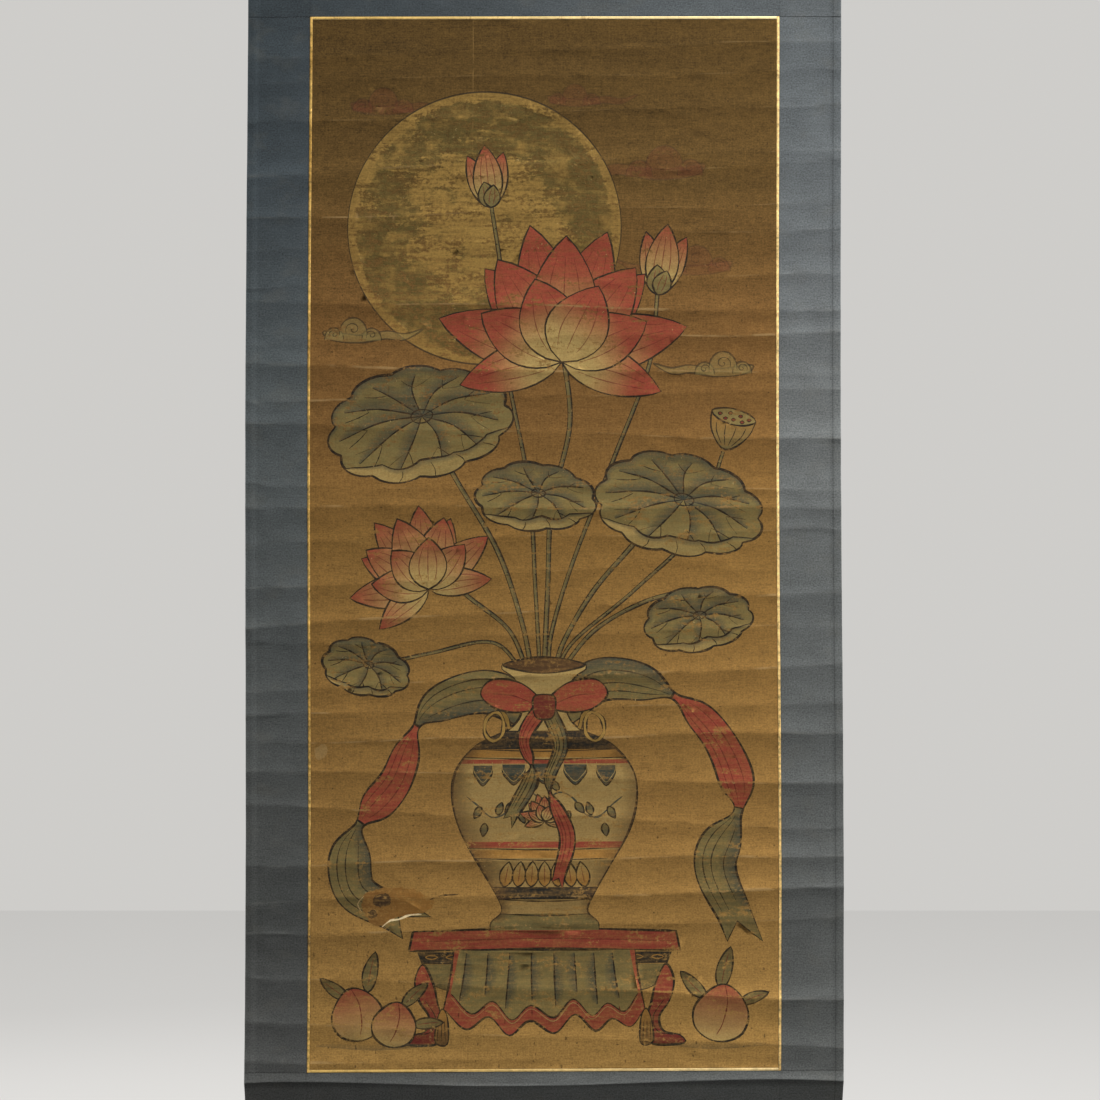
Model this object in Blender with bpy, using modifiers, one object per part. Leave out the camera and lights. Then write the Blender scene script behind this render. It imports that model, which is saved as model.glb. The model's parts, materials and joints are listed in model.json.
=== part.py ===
"""Buddhist hanging scroll: a painted picture sheet, edged with thin gold strips and set in
four panels of cloth.  It hangs by its top edge, and years of rolling have left it full of
cross creases.  Every piece is a thin sheet that follows one hanging surface.

Frame: metres, +Z up, the front of the scroll facing -Y, the origin at the middle of the top
edge.  A place on the flat scroll is (across, down): across from the middle towards +X, and
down from the top edge.
"""

import math
from collections import namedtuple

import bmesh
import bpy

MM = 0.001

# Sizes of the flat scroll
PICTURE_WIDTH = 456 * MM
PICTURE_HEIGHT = 1026.5 * MM
STRIP_WIDTH = 2.5 * MM
SIDE_WIDTH = 61 * MM
TOP_HEIGHT = 280 * MM
BOTTOM_HEIGHT = 170 * MM

# Thickness of the paper-backed cloth, and of its turned-in hems
SHEET_THICKNESS = 1.2 * MM
HEM_THICKNESS = 1.9 * MM
SIDE_HEM = 8 * MM
END_HEM = 12 * MM
HEM_STEP = 0.5 * MM
SEAM_GAP = 0.3 * MM

# Places across and down the scroll
HALF_PICTURE = PICTURE_WIDTH / 2
HALF_FRAME = HALF_PICTURE + STRIP_WIDTH
HALF_WIDTH = HALF_FRAME + SIDE_WIDTH
FRAME_TOP = TOP_HEIGHT
PICTURE_TOP = FRAME_TOP + STRIP_WIDTH
PICTURE_BOTTOM = PICTURE_TOP + PICTURE_HEIGHT
FRAME_BOTTOM = PICTURE_BOTTOM + STRIP_WIDTH
SCROLL_HEIGHT = FRAME_BOTTOM + BOTTOM_HEIGHT

# The broad hang: the sheet leans forward towards the fold, and its sides curl back
LEAN = 15 * MM
BELLY = 5 * MM
SIDE_CURL = 4 * MM
SWAY = 0.8 * MM
SKEW = 1.5 * MM

# The hard fold under the picture, where the cloth turns back and then hangs plumb again
FOLD_DOWN = 11.3 * MM
FOLD_WAVE = 2.7 * MM
FOLD_WAVE_LENGTH = 500 * MM
FOLD_WAVE_CREST = -25 * MM
FOLD_SAG = 1.7 * MM
FOLD_LIP = 3 * MM
FOLD_LIP_REACH = 12 * MM
FOLD_BACK = 34 * MM
FOLD_BACK_REACH = 40 * MM

# Each crease is a sharp ridge that fades over these distances above and below it.  RELIEF
# scales the depths in the tables below
REACH_ABOVE = 14 * MM
REACH_BELOW = 20 * MM
RELIEF = 1.3
CREASE_WOBBLE = 1.5 * MM
ROWS_PER_CREASE = 3

Crease = namedtuple("Crease", "left right left_depth middle_depth right_depth")

# How far each cross crease lies below the picture's top edge at the scroll's left and right
# edges, and how far it stands out at the left, in the middle and at the right, in millimetres
PICTURE_CREASES = [
    Crease(38, 21, 0.8, 0.5, 1.2),
    Crease(62, 50, 0.5, 0.7, 0.5),
    Crease(103, 83, 0.8, 0.6, 0.8),
    Crease(154, 127, 1.4, 0.7, 1.0),
    Crease(168, 141, 0.6, 0.5, 1.0),
    Crease(197, 180, 1.6, 0.7, 0.9),
    Crease(226, 206, 0.4, 0.6, 1.1),
    Crease(266, 252, 0.4, 0.4, 1.1),
    Crease(277, 289, 1.0, 1.4, 1.4),
    Crease(319, 309, 0.6, 0.8, 2.2),
    Crease(340, 351, 1.6, 1.5, 0.8),
    Crease(375, 366, 1.2, 0.9, 1.0),
    Crease(398, 415, 1.8, 0.8, 2.6),
    Crease(458, 463, 0.9, 0.7, 1.2),
    Crease(478, 482, 1.4, 1.5, 1.6),
    Crease(515, 503, 0.5, 0.8, 0.8),
    Crease(558, 530, 1.6, 0.7, 0.5),
    Crease(597, 562, 2.6, 1.2, 1.9),
    Crease(614, 595, 0.9, 0.8, 0.8),
    Crease(658, 633, 1.1, 1.2, 2.2),
    Crease(683, 671, 1.7, 0.9, 1.5),
    Crease(709, 700, 1.2, 1.5, 2.4),
    Crease(735, 751, 1.7, 1.0, 2.3),
    Crease(770, 794, 1.4, 0.8, 0.9),
    Crease(828, 820, 1.7, 1.6, 2.0),
    Crease(865, 852, 1.2, 1.4, 3.0),
    Crease(895, 881, 1.2, 1.1, 0.8),
    Crease(936, 961, 0.9, 1.6, 2.8),
    Crease(981, 1008, 1.5, 0.9, 2.2),
    Crease(1018, 1020, 2.0, 0.6, 0.6),
]

# The same for the top panel, from the scroll's top edge, and for the bottom panel, from the
# lower edge of the gold frame
TOP_CREASES = [
    Crease(47, 55, 0.6, 0.9, 0.7),
    Crease(98, 90, 1.1, 0.6, 1.2),
    Crease(151, 160, 0.8, 1.1, 0.6),
    Crease(196, 188, 1.3, 0.7, 1.0),
    Crease(243, 251, 0.7, 1.2, 1.4),
]
BOTTOM_CREASES = [
    Crease(78, 86, 1.2, 0.7, 1.0),
    Crease(121, 114, 0.8, 1.1, 0.7),
]
# How far below the fold the bottom panel gets a row of points
FOLD_ROWS = [5 * MM, 12 * MM, 22 * MM, 36 * MM]


def crease_from(crease, start):
    """The same crease in metres, measured from the scroll's top edge."""
    return Crease(start + crease.left * MM, start + crease.right * MM, *(depth * MM for depth in crease[2:]))


CREASES = (
    [crease_from(crease, 0) for crease in TOP_CREASES]
    + [crease_from(crease, PICTURE_TOP) for crease in PICTURE_CREASES]
    + [crease_from(crease, FRAME_BOTTOM) for crease in BOTTOM_CREASES]
)
FIRST_PICTURE_CREASE = len(TOP_CREASES)
FIRST_BOTTOM_CREASE = FIRST_PICTURE_CREASE + len(PICTURE_CREASES)


def crease_down(number, across):
    """How far down the scroll a crease runs at a place across: slanted, and a little wavy."""
    crease = CREASES[number]
    share = (across + HALF_WIDTH) / (2 * HALF_WIDTH)
    waves = 1.3 + 0.5 * (number % 3)
    wobble = CREASE_WOBBLE * math.sin(2 * math.pi * waves * share + 2.4 * number)
    return crease.left + (crease.right - crease.left) * share + wobble


def crease_depth(number, across):
    """How far a crease stands out: a parabola through its left, middle and right depths."""
    crease = CREASES[number]
    side = across / HALF_WIDTH
    middle = crease.middle_depth
    slope = (crease.right_depth - crease.left_depth) / 2
    bend = (crease.right_depth + crease.left_depth) / 2 - middle
    return RELIEF * (middle + slope * side + bend * side * side)


def fold_down(across):
    """How far down the scroll the hard fold runs: one slow wave that sags at both ends."""
    wave = math.cos(2 * math.pi * (across - FOLD_WAVE_CREST) / FOLD_WAVE_LENGTH)
    return FRAME_BOTTOM + FOLD_DOWN + FOLD_WAVE * wave + FOLD_SAG * (across / HALF_WIDTH) ** 12


def standing_out(across, down):
    """How far the front of the sheet stands out from the plumb plane through its top edge."""
    side = across / HALF_WIDTH
    out = LEAN * (down / SCROLL_HEIGHT) ** 1.5 + BELLY * math.sin(math.pi * down / SCROLL_HEIGHT)
    out -= SIDE_CURL * side**4 * math.sin(math.pi * down / SCROLL_HEIGHT)
    for number in range(len(CREASES)):
        below = down - crease_down(number, across)
        reach = REACH_BELOW if below > 0 else REACH_ABOVE
        out += crease_depth(number, across) * math.exp(-abs(below) / reach)
    below = down - fold_down(across)
    if below > 0:
        out += FOLD_LIP - FOLD_BACK * (1 - math.exp(-below / FOLD_BACK_REACH))
    else:
        out += FOLD_LIP * math.exp(below / FOLD_LIP_REACH)
    return out


def hang(across, down):
    """The point in space of a place on the flat scroll."""
    sway = SWAY * math.sin(2 * math.pi * down / (SCROLL_HEIGHT * 0.6))
    skew = SKEW * (across / HALF_WIDTH) * (down / SCROLL_HEIGHT)
    return (across + sway, -standing_out(across, down), skew - down)


def level(down):
    """A straight row of points across the scroll."""
    return lambda across: down


def along_crease(number):
    """A row of points that follows a crease."""
    return lambda across: crease_down(number, across)


def below_fold(drop):
    """A row of points that follows the hard fold, some way below it."""
    return lambda across: fold_down(across) + drop


def rows_through(lines):
    """Each line of a panel, with evenly spaced rows of points between it and the next one."""
    rows = []
    for upper, lower in zip(lines, lines[1:]):
        for step in range(ROWS_PER_CREASE):
            share = step / ROWS_PER_CREASE
            rows.append(lambda across, a=upper, b=lower, t=share: a(across) * (1 - t) + b(across) * t)
    return rows + [lines[-1]]


def spaced(start, end, count):
    """Places from start to end in equal steps, both ends included."""
    return [start + (end - start) * step / count for step in range(count + 1)]


def cloth_material(name, colour, roughness, metallic=0.0):
    """A plain finish with the piece's colour."""
    material = bpy.data.materials.new(name)
    material.use_nodes = True
    shader = material.node_tree.nodes["Principled BSDF"]
    shader.inputs["Base Color"].default_value = (*colour, 1)
    shader.inputs["Roughness"].default_value = roughness
    shader.inputs["Metallic"].default_value = metallic
    material.diffuse_color = (*colour, 1)
    return material


def hung_sheet(name, columns, rows, material, is_hem=lambda across, down: False):
    """One sheet: a grid laid on the hanging surface and given its thickness backwards."""
    mesh = bpy.data.meshes.new(name)
    grid = bmesh.new()
    bmesh.ops.create_grid(grid, x_segments=len(columns) - 1, y_segments=len(rows) - 1, size=1)
    layer = grid.verts.layers.deform.verify()
    for vert in grid.verts:
        across = columns[round((vert.co.x + 1) / 2 * (len(columns) - 1))]
        down = rows[round((1 - vert.co.y) / 2 * (len(rows) - 1))](across)
        vert.co = hang(across, down)
        vert[layer][0] = 1.0 if is_hem(across, down) else SHEET_THICKNESS / HEM_THICKNESS
    grid.to_mesh(mesh)
    grid.free()
    mesh.materials.append(material)
    mesh.shade_smooth()
    mesh.set_sharp_from_angle(angle=math.radians(40))
    sheet = bpy.data.objects.new(name, mesh)
    sheet.vertex_groups.new(name="thickness")
    solidify = sheet.modifiers.new("Thickness", "SOLIDIFY")
    solidify.thickness = HEM_THICKNESS
    solidify.offset = -1
    solidify.vertex_group = "thickness"
    scroll.objects.link(sheet)
    return sheet


def picture_lines(top, bottom):
    """The rows that follow the picture's creases, between two straight edges."""
    creases = range(FIRST_PICTURE_CREASE, FIRST_BOTTOM_CREASE)
    return rows_through([level(top)] + [along_crease(number) for number in creases] + [level(bottom)])


def in_side_hem(across, down):
    """Whether a place lies in the turned-in cloth along the scroll's left or right edge."""
    return abs(across) >= HALF_WIDTH - SIDE_HEM


def in_hem(across, down):
    """Whether a place lies in the turned-in cloth at any edge of the scroll."""
    in_end = down <= END_HEM or down >= SCROLL_HEIGHT - END_HEM
    return in_side_hem(across, down) or in_end


def make_picture(material):
    """The painted sheet in the middle of the scroll."""
    edge = HALF_PICTURE - SEAM_GAP / 2
    columns = spaced(-edge, edge, 8)
    rows = picture_lines(PICTURE_TOP + SEAM_GAP / 2, PICTURE_BOTTOM - SEAM_GAP / 2)
    hung_sheet("picture", columns, rows, material)


def make_gold_strips(material):
    """Thin strips round the picture: the upright ones run its full height and the others butt."""
    inner = HALF_PICTURE + SEAM_GAP / 2
    outer = HALF_FRAME - SEAM_GAP / 2
    rows = picture_lines(FRAME_TOP + SEAM_GAP / 2, FRAME_BOTTOM - SEAM_GAP / 2)
    hung_sheet("gold_strip_left", [-outer, -inner], rows, material)
    hung_sheet("gold_strip_right", [inner, outer], rows, material)
    across = spaced(SEAM_GAP / 2 - HALF_PICTURE, HALF_PICTURE - SEAM_GAP / 2, 8)
    for name, top in (("gold_strip_top", FRAME_TOP), ("gold_strip_bottom", PICTURE_BOTTOM)):
        edges = [level(top + SEAM_GAP / 2), level(top + STRIP_WIDTH - SEAM_GAP / 2)]
        hung_sheet(name, across, edges, material)


def make_side_panels(material):
    """The upright cloth panels left and right of the picture, hemmed along their outer edge."""
    inner = HALF_FRAME + SEAM_GAP / 2
    hem = HALF_WIDTH - SIDE_HEM
    columns = [inner, (inner + hem) / 2, hem - HEM_STEP, hem, HALF_WIDTH]
    rows = picture_lines(FRAME_TOP + SEAM_GAP / 2, FRAME_BOTTOM - SEAM_GAP / 2)
    hung_sheet("side_panel_right", columns, rows, material, in_side_hem)
    mirrored = [-across for across in reversed(columns)]
    hung_sheet("side_panel_left", mirrored, rows, material, in_side_hem)


def end_columns():
    """The columns of a panel that runs the scroll's full width, with both side hems."""
    hem = HALF_WIDTH - SIDE_HEM
    return [-HALF_WIDTH, -hem] + spaced(HEM_STEP - hem, hem - HEM_STEP, 10) + [hem, HALF_WIDTH]


def make_top_panel(material):
    """The cloth above the picture, which ends in the hem that the scroll hangs by."""
    creases = [along_crease(number) for number in range(FIRST_PICTURE_CREASE)]
    lines = [level(END_HEM + HEM_STEP)] + creases + [level(FRAME_TOP - SEAM_GAP / 2)]
    rows = [level(0), level(END_HEM)] + rows_through(lines)
    hung_sheet("top_panel", end_columns(), rows, material, in_hem)


def make_bottom_panel(material):
    """The cloth below the picture: a hard fold turns it back, and it ends in a plain hem."""
    folds = [below_fold(drop) for drop in [0] + FOLD_ROWS]
    creases = [along_crease(number) for number in range(FIRST_BOTTOM_CREASE, len(CREASES))]
    hem = SCROLL_HEIGHT - END_HEM
    rows = [level(FRAME_BOTTOM + SEAM_GAP / 2)] + folds
    rows += rows_through(creases + [level(hem - HEM_STEP)]) + [level(hem), level(SCROLL_HEIGHT)]
    hung_sheet("bottom_panel", end_columns(), rows, material, in_hem)


for leftover in list(bpy.data.objects):
    bpy.data.objects.remove(leftover)
scroll = bpy.data.collections.new("hanging_scroll")
bpy.context.scene.collection.children.link(scroll)

painted_silk = cloth_material("painted silk", (0.20, 0.12, 0.04), 0.85)
gold_paper = cloth_material("gold paper", (0.62, 0.42, 0.13), 0.4, 0.5)
mounting_cloth = cloth_material("blue-grey mounting cloth", (0.075, 0.09, 0.1), 0.9)

make_picture(painted_silk)
make_gold_strips(gold_paper)
make_side_panels(mounting_cloth)
make_top_panel(mounting_cloth)
make_bottom_panel(mounting_cloth)
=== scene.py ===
# %% [markdown]
# # A painted hanging scroll
#
# This is a tall picture on silk, edged with thin gold paper and set in four panels of
# blue-grey cloth. It hangs by its top edge. Decades of rolling and unrolling have pressed
# cross creases into it, and under the picture it still has one hard fold.
#
# The lesson builds it the way a scroll mounter works: every piece is cut flat first, and
# then all of them are hung on the same creased surface, so that they always meet.

# %% Load the frame that every piece has to fit
import json
import math
import random
from collections import namedtuple

import bpy
import numpy as np
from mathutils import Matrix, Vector, geometry

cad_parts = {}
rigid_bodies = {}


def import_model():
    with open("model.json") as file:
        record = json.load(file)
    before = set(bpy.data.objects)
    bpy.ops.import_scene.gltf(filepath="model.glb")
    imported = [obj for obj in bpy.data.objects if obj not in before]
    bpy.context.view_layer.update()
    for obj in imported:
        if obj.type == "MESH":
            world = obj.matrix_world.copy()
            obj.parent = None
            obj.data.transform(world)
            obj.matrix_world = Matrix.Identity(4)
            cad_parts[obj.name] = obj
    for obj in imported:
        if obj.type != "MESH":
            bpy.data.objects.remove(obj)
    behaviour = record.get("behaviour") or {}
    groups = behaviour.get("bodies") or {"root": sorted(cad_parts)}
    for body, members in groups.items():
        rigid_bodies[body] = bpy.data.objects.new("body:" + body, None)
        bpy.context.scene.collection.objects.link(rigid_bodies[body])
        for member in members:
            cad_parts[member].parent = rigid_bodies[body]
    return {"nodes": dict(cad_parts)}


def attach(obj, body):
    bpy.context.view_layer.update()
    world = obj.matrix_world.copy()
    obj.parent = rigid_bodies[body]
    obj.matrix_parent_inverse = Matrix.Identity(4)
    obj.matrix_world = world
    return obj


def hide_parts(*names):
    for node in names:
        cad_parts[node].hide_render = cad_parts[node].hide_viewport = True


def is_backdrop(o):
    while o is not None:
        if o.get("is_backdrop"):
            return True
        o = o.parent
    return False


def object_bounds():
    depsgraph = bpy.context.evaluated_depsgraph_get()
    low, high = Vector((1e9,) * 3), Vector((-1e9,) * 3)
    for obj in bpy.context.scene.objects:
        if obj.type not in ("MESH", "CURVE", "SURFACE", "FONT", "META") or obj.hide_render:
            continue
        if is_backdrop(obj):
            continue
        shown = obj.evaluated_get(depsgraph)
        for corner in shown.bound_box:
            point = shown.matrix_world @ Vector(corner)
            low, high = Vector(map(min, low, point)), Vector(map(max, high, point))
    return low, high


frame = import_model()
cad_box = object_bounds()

MM = 0.001
print("pieces to dress:", ", ".join(sorted(frame["nodes"])))

# %% [markdown]
# ## The flat scroll
#
# A mounter writes down the cut sizes before anything else. All sizes below belong to the
# flat scroll. A place on it is (across, down): across from the middle line towards +X, and
# down from the top edge. Keeping two flat numbers for every point makes each later step
# easy: seams are straight lines, and a hem is simply "the last 8 mm".

# %% Cut sizes of the flat scroll
PICTURE_WIDTH = 456 * MM
PICTURE_HEIGHT = 1026.5 * MM
STRIP_WIDTH = 2.5 * MM
SIDE_WIDTH = 61 * MM
TOP_HEIGHT = 280 * MM
BOTTOM_HEIGHT = 170 * MM
SHEET_THICKNESS = 1.2 * MM
HEM_THICKNESS = 1.9 * MM
SIDE_HEM = 8 * MM
END_HEM = 12 * MM
SEAM_GAP = 0.01 * MM

HALF_PICTURE = PICTURE_WIDTH / 2
HALF_FRAME = HALF_PICTURE + STRIP_WIDTH
HALF_WIDTH = HALF_FRAME + SIDE_WIDTH
FRAME_TOP = TOP_HEIGHT
PICTURE_TOP = FRAME_TOP + STRIP_WIDTH
PICTURE_BOTTOM = PICTURE_TOP + PICTURE_HEIGHT
FRAME_BOTTOM = PICTURE_BOTTOM + STRIP_WIDTH
SCROLL_HEIGHT = FRAME_BOTTOM + BOTTOM_HEIGHT
print(f"flat scroll: {2 * HALF_WIDTH:.3f} m wide, {SCROLL_HEIGHT:.3f} m long")
print("hung scroll, from the frame:", [round(size, 3) for size in cad_box[1] - cad_box[0]])

# %% [markdown]
# ## Camera, floor and light
#
# A tall flat thing is best seen straight on and through a long lens, so that its edges stay
# parallel. The camera stands a little low and looks up by about a degree, which makes the
# top a trace narrower than the bottom.
#
# Creases only show in light that grazes them. So a strong soft light stands high on the
# right: each ridge gets a light upper side and a dark lower one. Weak lights from the side
# and from low in front keep the shadows readable, and one behind lights the back. The floor
# and the world look pale but throw little light, because light from below would fill the
# creases again.

# %% Camera
def added(name, data):
    """Put a new object in the scene."""
    made = bpy.data.objects.new(name, data)
    bpy.context.collection.objects.link(made)
    return made


VIEW_CENTRE = Vector((0.006, 0.0, -0.804))
VIEW_HEIGHT = 1.078
CAMERA_DISTANCE = 3.5
CAMERA_PITCH = math.radians(1.35)

camera_data = bpy.data.cameras.new("camera")
camera_data.sensor_width = 36
camera_data.lens = CAMERA_DISTANCE * camera_data.sensor_width / VIEW_HEIGHT
camera = added("camera", camera_data)
camera_way = Vector((0, -math.cos(CAMERA_PITCH), -math.sin(CAMERA_PITCH)))
camera.location = VIEW_CENTRE + CAMERA_DISTANCE * camera_way
camera.rotation_euler = (math.pi / 2 + CAMERA_PITCH, 0, 0)
bpy.context.scene.camera = camera
bpy.context.scene.view_settings.view_transform = "Standard"
print(f"lens {camera_data.lens:.0f} mm at {CAMERA_DISTANCE} m")

# %% Floor
FLOOR_DOWN = 1.62
PALE = (0.62, 0.61, 0.59, 1)
bpy.ops.mesh.primitive_plane_add(size=12, location=(0, 0, -FLOOR_DOWN))
floor = bpy.context.object
floor.name = "floor"
floor_paint = bpy.data.materials.new("pale floor")
floor_paint.use_nodes = True
floor_shader = floor_paint.node_tree.nodes["Principled BSDF"]
floor_shader.inputs["Base Color"].default_value = (0.14, 0.137, 0.133, 1)
floor_shader.inputs["Emission Color"].default_value = PALE
floor_shader.inputs["Emission Strength"].default_value = 0.82
floor_shader.inputs["Roughness"].default_value = 0.9
floor.data.materials.append(floor_paint)
floor.visible_diffuse = False
floor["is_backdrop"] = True
print("the floor lies", FLOOR_DOWN, "m below the scroll's top edge")

# %% Lights
def soft_light(name, place, aim, size, power, colour=(1, 1, 1)):
    """A square soft box at a place, turned towards a point."""
    data = bpy.data.lights.new(name, "AREA")
    data.shape = "SQUARE"
    data.size = size
    data.energy = power
    data.color = colour
    light = added(name, data)
    light.location = place
    light.rotation_euler = (Vector(aim) - Vector(place)).to_track_quat("-Z", "Y").to_euler()
    return light


soft_light("high light", (2.0, -1.20, 3.3), (0, 0, -0.8), 0.9, 520)
soft_light("side light", (1.5, -0.9, -0.5), (0, 0, -0.8), 0.8, 6)
soft_light("low front light", (-0.4, -3.0, -1.7), (0, 0, -1.0), 1.0, 15)
soft_light("back light", (-1.2, 2.4, 0.4), (0, 0, -0.8), 1.2, 40)
print("lights:", ", ".join(light.name for light in bpy.data.objects if light.type == "LIGHT"))


# %% World
def studio_world():
    """A world that looks pale, but lights the scroll only weakly."""
    world = bpy.data.worlds.new("studio")
    bpy.context.scene.world = world
    world.use_nodes = True
    tree = world.node_tree
    seen = tree.nodes["Background"]
    seen.inputs["Color"].default_value = PALE
    seen.inputs["Strength"].default_value = 1.0
    glow = tree.nodes.new("ShaderNodeBackground")
    glow.inputs["Color"].default_value = PALE
    glow.inputs["Strength"].default_value = 0.10
    ray = tree.nodes.new("ShaderNodeLightPath")
    choice = tree.nodes.new("ShaderNodeMixShader")
    tree.links.new(ray.outputs["Is Camera Ray"], choice.inputs[0])
    tree.links.new(glow.outputs[0], choice.inputs[1])
    tree.links.new(seen.outputs[0], choice.inputs[2])
    tree.links.new(choice.outputs[0], tree.nodes["World Output"].inputs["Surface"])


studio_world()
print("the world lights the scroll with a tenth of what the camera sees")

# %% [markdown]
# ## Arithmetic with node sockets
#
# Node trees are sums, products and sines, and those read best as ordinary Python. A `Wire`
# is one output of a node. Writing `a + b * 2` with wires adds the Math nodes that work it
# out. A `Bench` is a tree being built, and its one method `node` adds any other node: its
# settings are set first, and then its sockets get values or wires.

# %% A wire, and the bench that it is used on
class Wire:
    """One output socket, with Python's arithmetic turned into Math nodes."""

    def __init__(self, tree, socket):
        self.tree = tree
        self.socket = socket

    def math(self, operation, *values):
        made = self.tree.nodes.new("ShaderNodeMath")
        made.operation = operation
        for place, value in enumerate(values):
            plug(self.tree, made.inputs[place], value)
        return Wire(self.tree, made.outputs[0])

    def __add__(self, other):
        return self.math("ADD", self, other)

    def __radd__(self, other):
        return self.math("ADD", other, self)

    def __sub__(self, other):
        return self.math("SUBTRACT", self, other)

    def __rsub__(self, other):
        return self.math("SUBTRACT", other, self)

    def __mul__(self, other):
        return self.math("MULTIPLY", self, other)

    def __rmul__(self, other):
        return self.math("MULTIPLY", other, self)

    def __truediv__(self, other):
        return self.math("DIVIDE", self, other)

    def __rtruediv__(self, other):
        return self.math("DIVIDE", other, self)

    def __pow__(self, other):
        return self.math("POWER", self, other)

    def __gt__(self, other):
        return self.math("GREATER_THAN", self, other)

    def __abs__(self):
        return self.math("ABSOLUTE", self)

    def __neg__(self):
        return self.math("MULTIPLY", self, -1)

    def sine(self):
        return self.math("SINE", self)

    def cosine(self):
        return self.math("COSINE", self)

    def exp(self):
        return self.math("EXPONENT", self)

    def root(self):
        return self.math("SQRT", self)

    def left_over(self, size):
        return self.math("FLOORED_MODULO", self, size)

    def clamped(self):
        made = self.tree.nodes.new("ShaderNodeClamp")
        plug(self.tree, made.inputs[0], self)
        return Wire(self.tree, made.outputs[0])


def plug(tree, socket, value):
    """Give a socket a wire or a plain value."""
    if isinstance(value, Wire):
        tree.links.new(value.socket, socket)
    else:
        socket.default_value = value


class Bench:
    """A node tree being built."""

    def __init__(self, tree):
        self.tree = tree

    def node(self, kind, settings, sockets):
        """Add a node: settings first, then the values or wires of its sockets."""
        made = self.tree.nodes.new(kind)
        for name, value in settings.items():
            setattr(made, name, value)
        for name, value in sockets.items():
            plug(self.tree, made.inputs[name], value)
        return made

    def out(self, kind, settings=None, sockets=None, output=0):
        """Add a node and return one of its outputs as a wire."""
        return Wire(self.tree, self.node(kind, settings or {}, sockets or {}).outputs[output])

    def between(self, low, high, value):
        """0 below low, 1 above high, and a soft step in between."""
        sockets = {"Value": value, "From Min": low, "From Max": high}
        return self.out("ShaderNodeMapRange", {"interpolation_type": "SMOOTHSTEP"}, sockets)


print("wires and benches are ready")

# %% [markdown]
# ## The hanging surface
#
# The real scroll hangs almost plumb. It leans forward a little towards the fold, its long
# edges curl back, and thirty-seven cross creases stand out as ridges that are sharp at their
# crest and fade within a finger's width.
#
# Cloth simulation would have to be forced into exactly these creases. A rule is simpler, so
# one Geometry Nodes tree does the hanging. It works on any flat piece. The creases are a
# small table, stored as a mesh with one point for each crease.

# %% The table of creases
LEAN = 15 * MM
BELLY = 5 * MM
SIDE_CURL = 4 * MM
SWAY = 0.8 * MM
SWAY_SHARE = 0.6
SKEW = 1.5 * MM
FOLD_DOWN = 11.3 * MM
FOLD_WAVE = 2.7 * MM
FOLD_WAVE_LENGTH = 500 * MM
FOLD_WAVE_CREST = -25 * MM
FOLD_SAG = 1.7 * MM
FOLD_SAG_POWER = 12
FOLD_LIP = 3 * MM
FOLD_LIP_REACH = 12 * MM
FOLD_BACK = 34 * MM
FOLD_BACK_REACH = 40 * MM
REACH_ABOVE = 14 * MM
REACH_BELOW = 20 * MM
CREASE_WOBBLE = 1.5 * MM
# The waves in a crease from edge to edge: the fewest, and how the creases take turns
FEWEST_WAVES = 1.3
WAVES_APART = 0.5
WAVE_KINDS = 3
WAVE_SHIFT = 2.4
CREST_RADIUS = 0.6 * MM
RELIEF = 1.3
RUBBED_BY_DEPTH = 600
RUBBED_NARROWNESS = 900
WRINKLE_HEIGHT = 0.35 * MM
WRINKLES_ACROSS = 7
WRINKLES_DOWN = 42
WRINKLE_PINCH = 26

Crease = namedtuple("Crease", "left right left_depth middle_depth right_depth")

# How far each crease lies below the picture's top edge at the scroll's left and right edges,
# and how far it stands out at the left, in the middle and at the right, in millimetres
PICTURE_CREASES = [
    (38, 21, 0.8, 0.5, 1.2), (62, 50, 0.5, 0.7, 0.5), (103, 83, 0.8, 0.6, 0.8),
    (154, 127, 1.4, 0.7, 1.0), (168, 141, 0.6, 0.5, 1.0), (197, 180, 1.6, 0.7, 0.9),
    (226, 206, 0.4, 0.6, 1.1), (266, 252, 0.4, 0.4, 1.1), (277, 289, 1.0, 1.4, 1.4),
    (319, 309, 0.6, 0.8, 2.2), (340, 351, 1.6, 1.5, 0.8), (375, 366, 1.2, 0.9, 1.0),
    (398, 415, 1.8, 0.8, 2.6), (458, 463, 0.9, 0.7, 1.2), (478, 482, 1.4, 1.5, 1.6),
    (515, 503, 0.5, 0.8, 0.8), (558, 530, 1.6, 0.7, 0.5), (597, 562, 2.6, 1.2, 1.9),
    (614, 595, 0.9, 0.8, 0.8), (658, 633, 1.1, 1.2, 2.2), (683, 671, 1.7, 0.9, 1.5),
    (709, 700, 1.2, 1.5, 2.4), (735, 751, 1.7, 1.0, 2.3), (770, 794, 1.4, 0.8, 0.9),
    (828, 820, 1.7, 1.6, 2.0), (865, 852, 1.2, 1.4, 3.0), (895, 881, 1.2, 1.1, 0.8),
    (936, 961, 0.9, 1.6, 2.8), (981, 1008, 1.5, 0.9, 2.2), (1018, 1020, 2.0, 0.6, 0.6),
]
# The same for the top panel, from the top edge, and for the bottom panel, from the frame
TOP_CREASES = [
    (47, 55, 0.6, 0.9, 0.7), (98, 90, 1.1, 0.6, 1.2), (151, 160, 0.8, 1.1, 0.6),
    (196, 188, 1.3, 0.7, 1.0), (243, 251, 0.7, 1.2, 1.4),
]
BOTTOM_CREASES = [
    (78, 86, 1.2, 0.7, 1.0), (121, 114, 0.8, 1.1, 0.7),
]


def crease_from(row, start):
    """A crease of the table in metres, measured from the scroll's top edge."""
    left, right, *depths = row
    return Crease(start + left * MM, start + right * MM, *(depth * MM for depth in depths))


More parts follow.
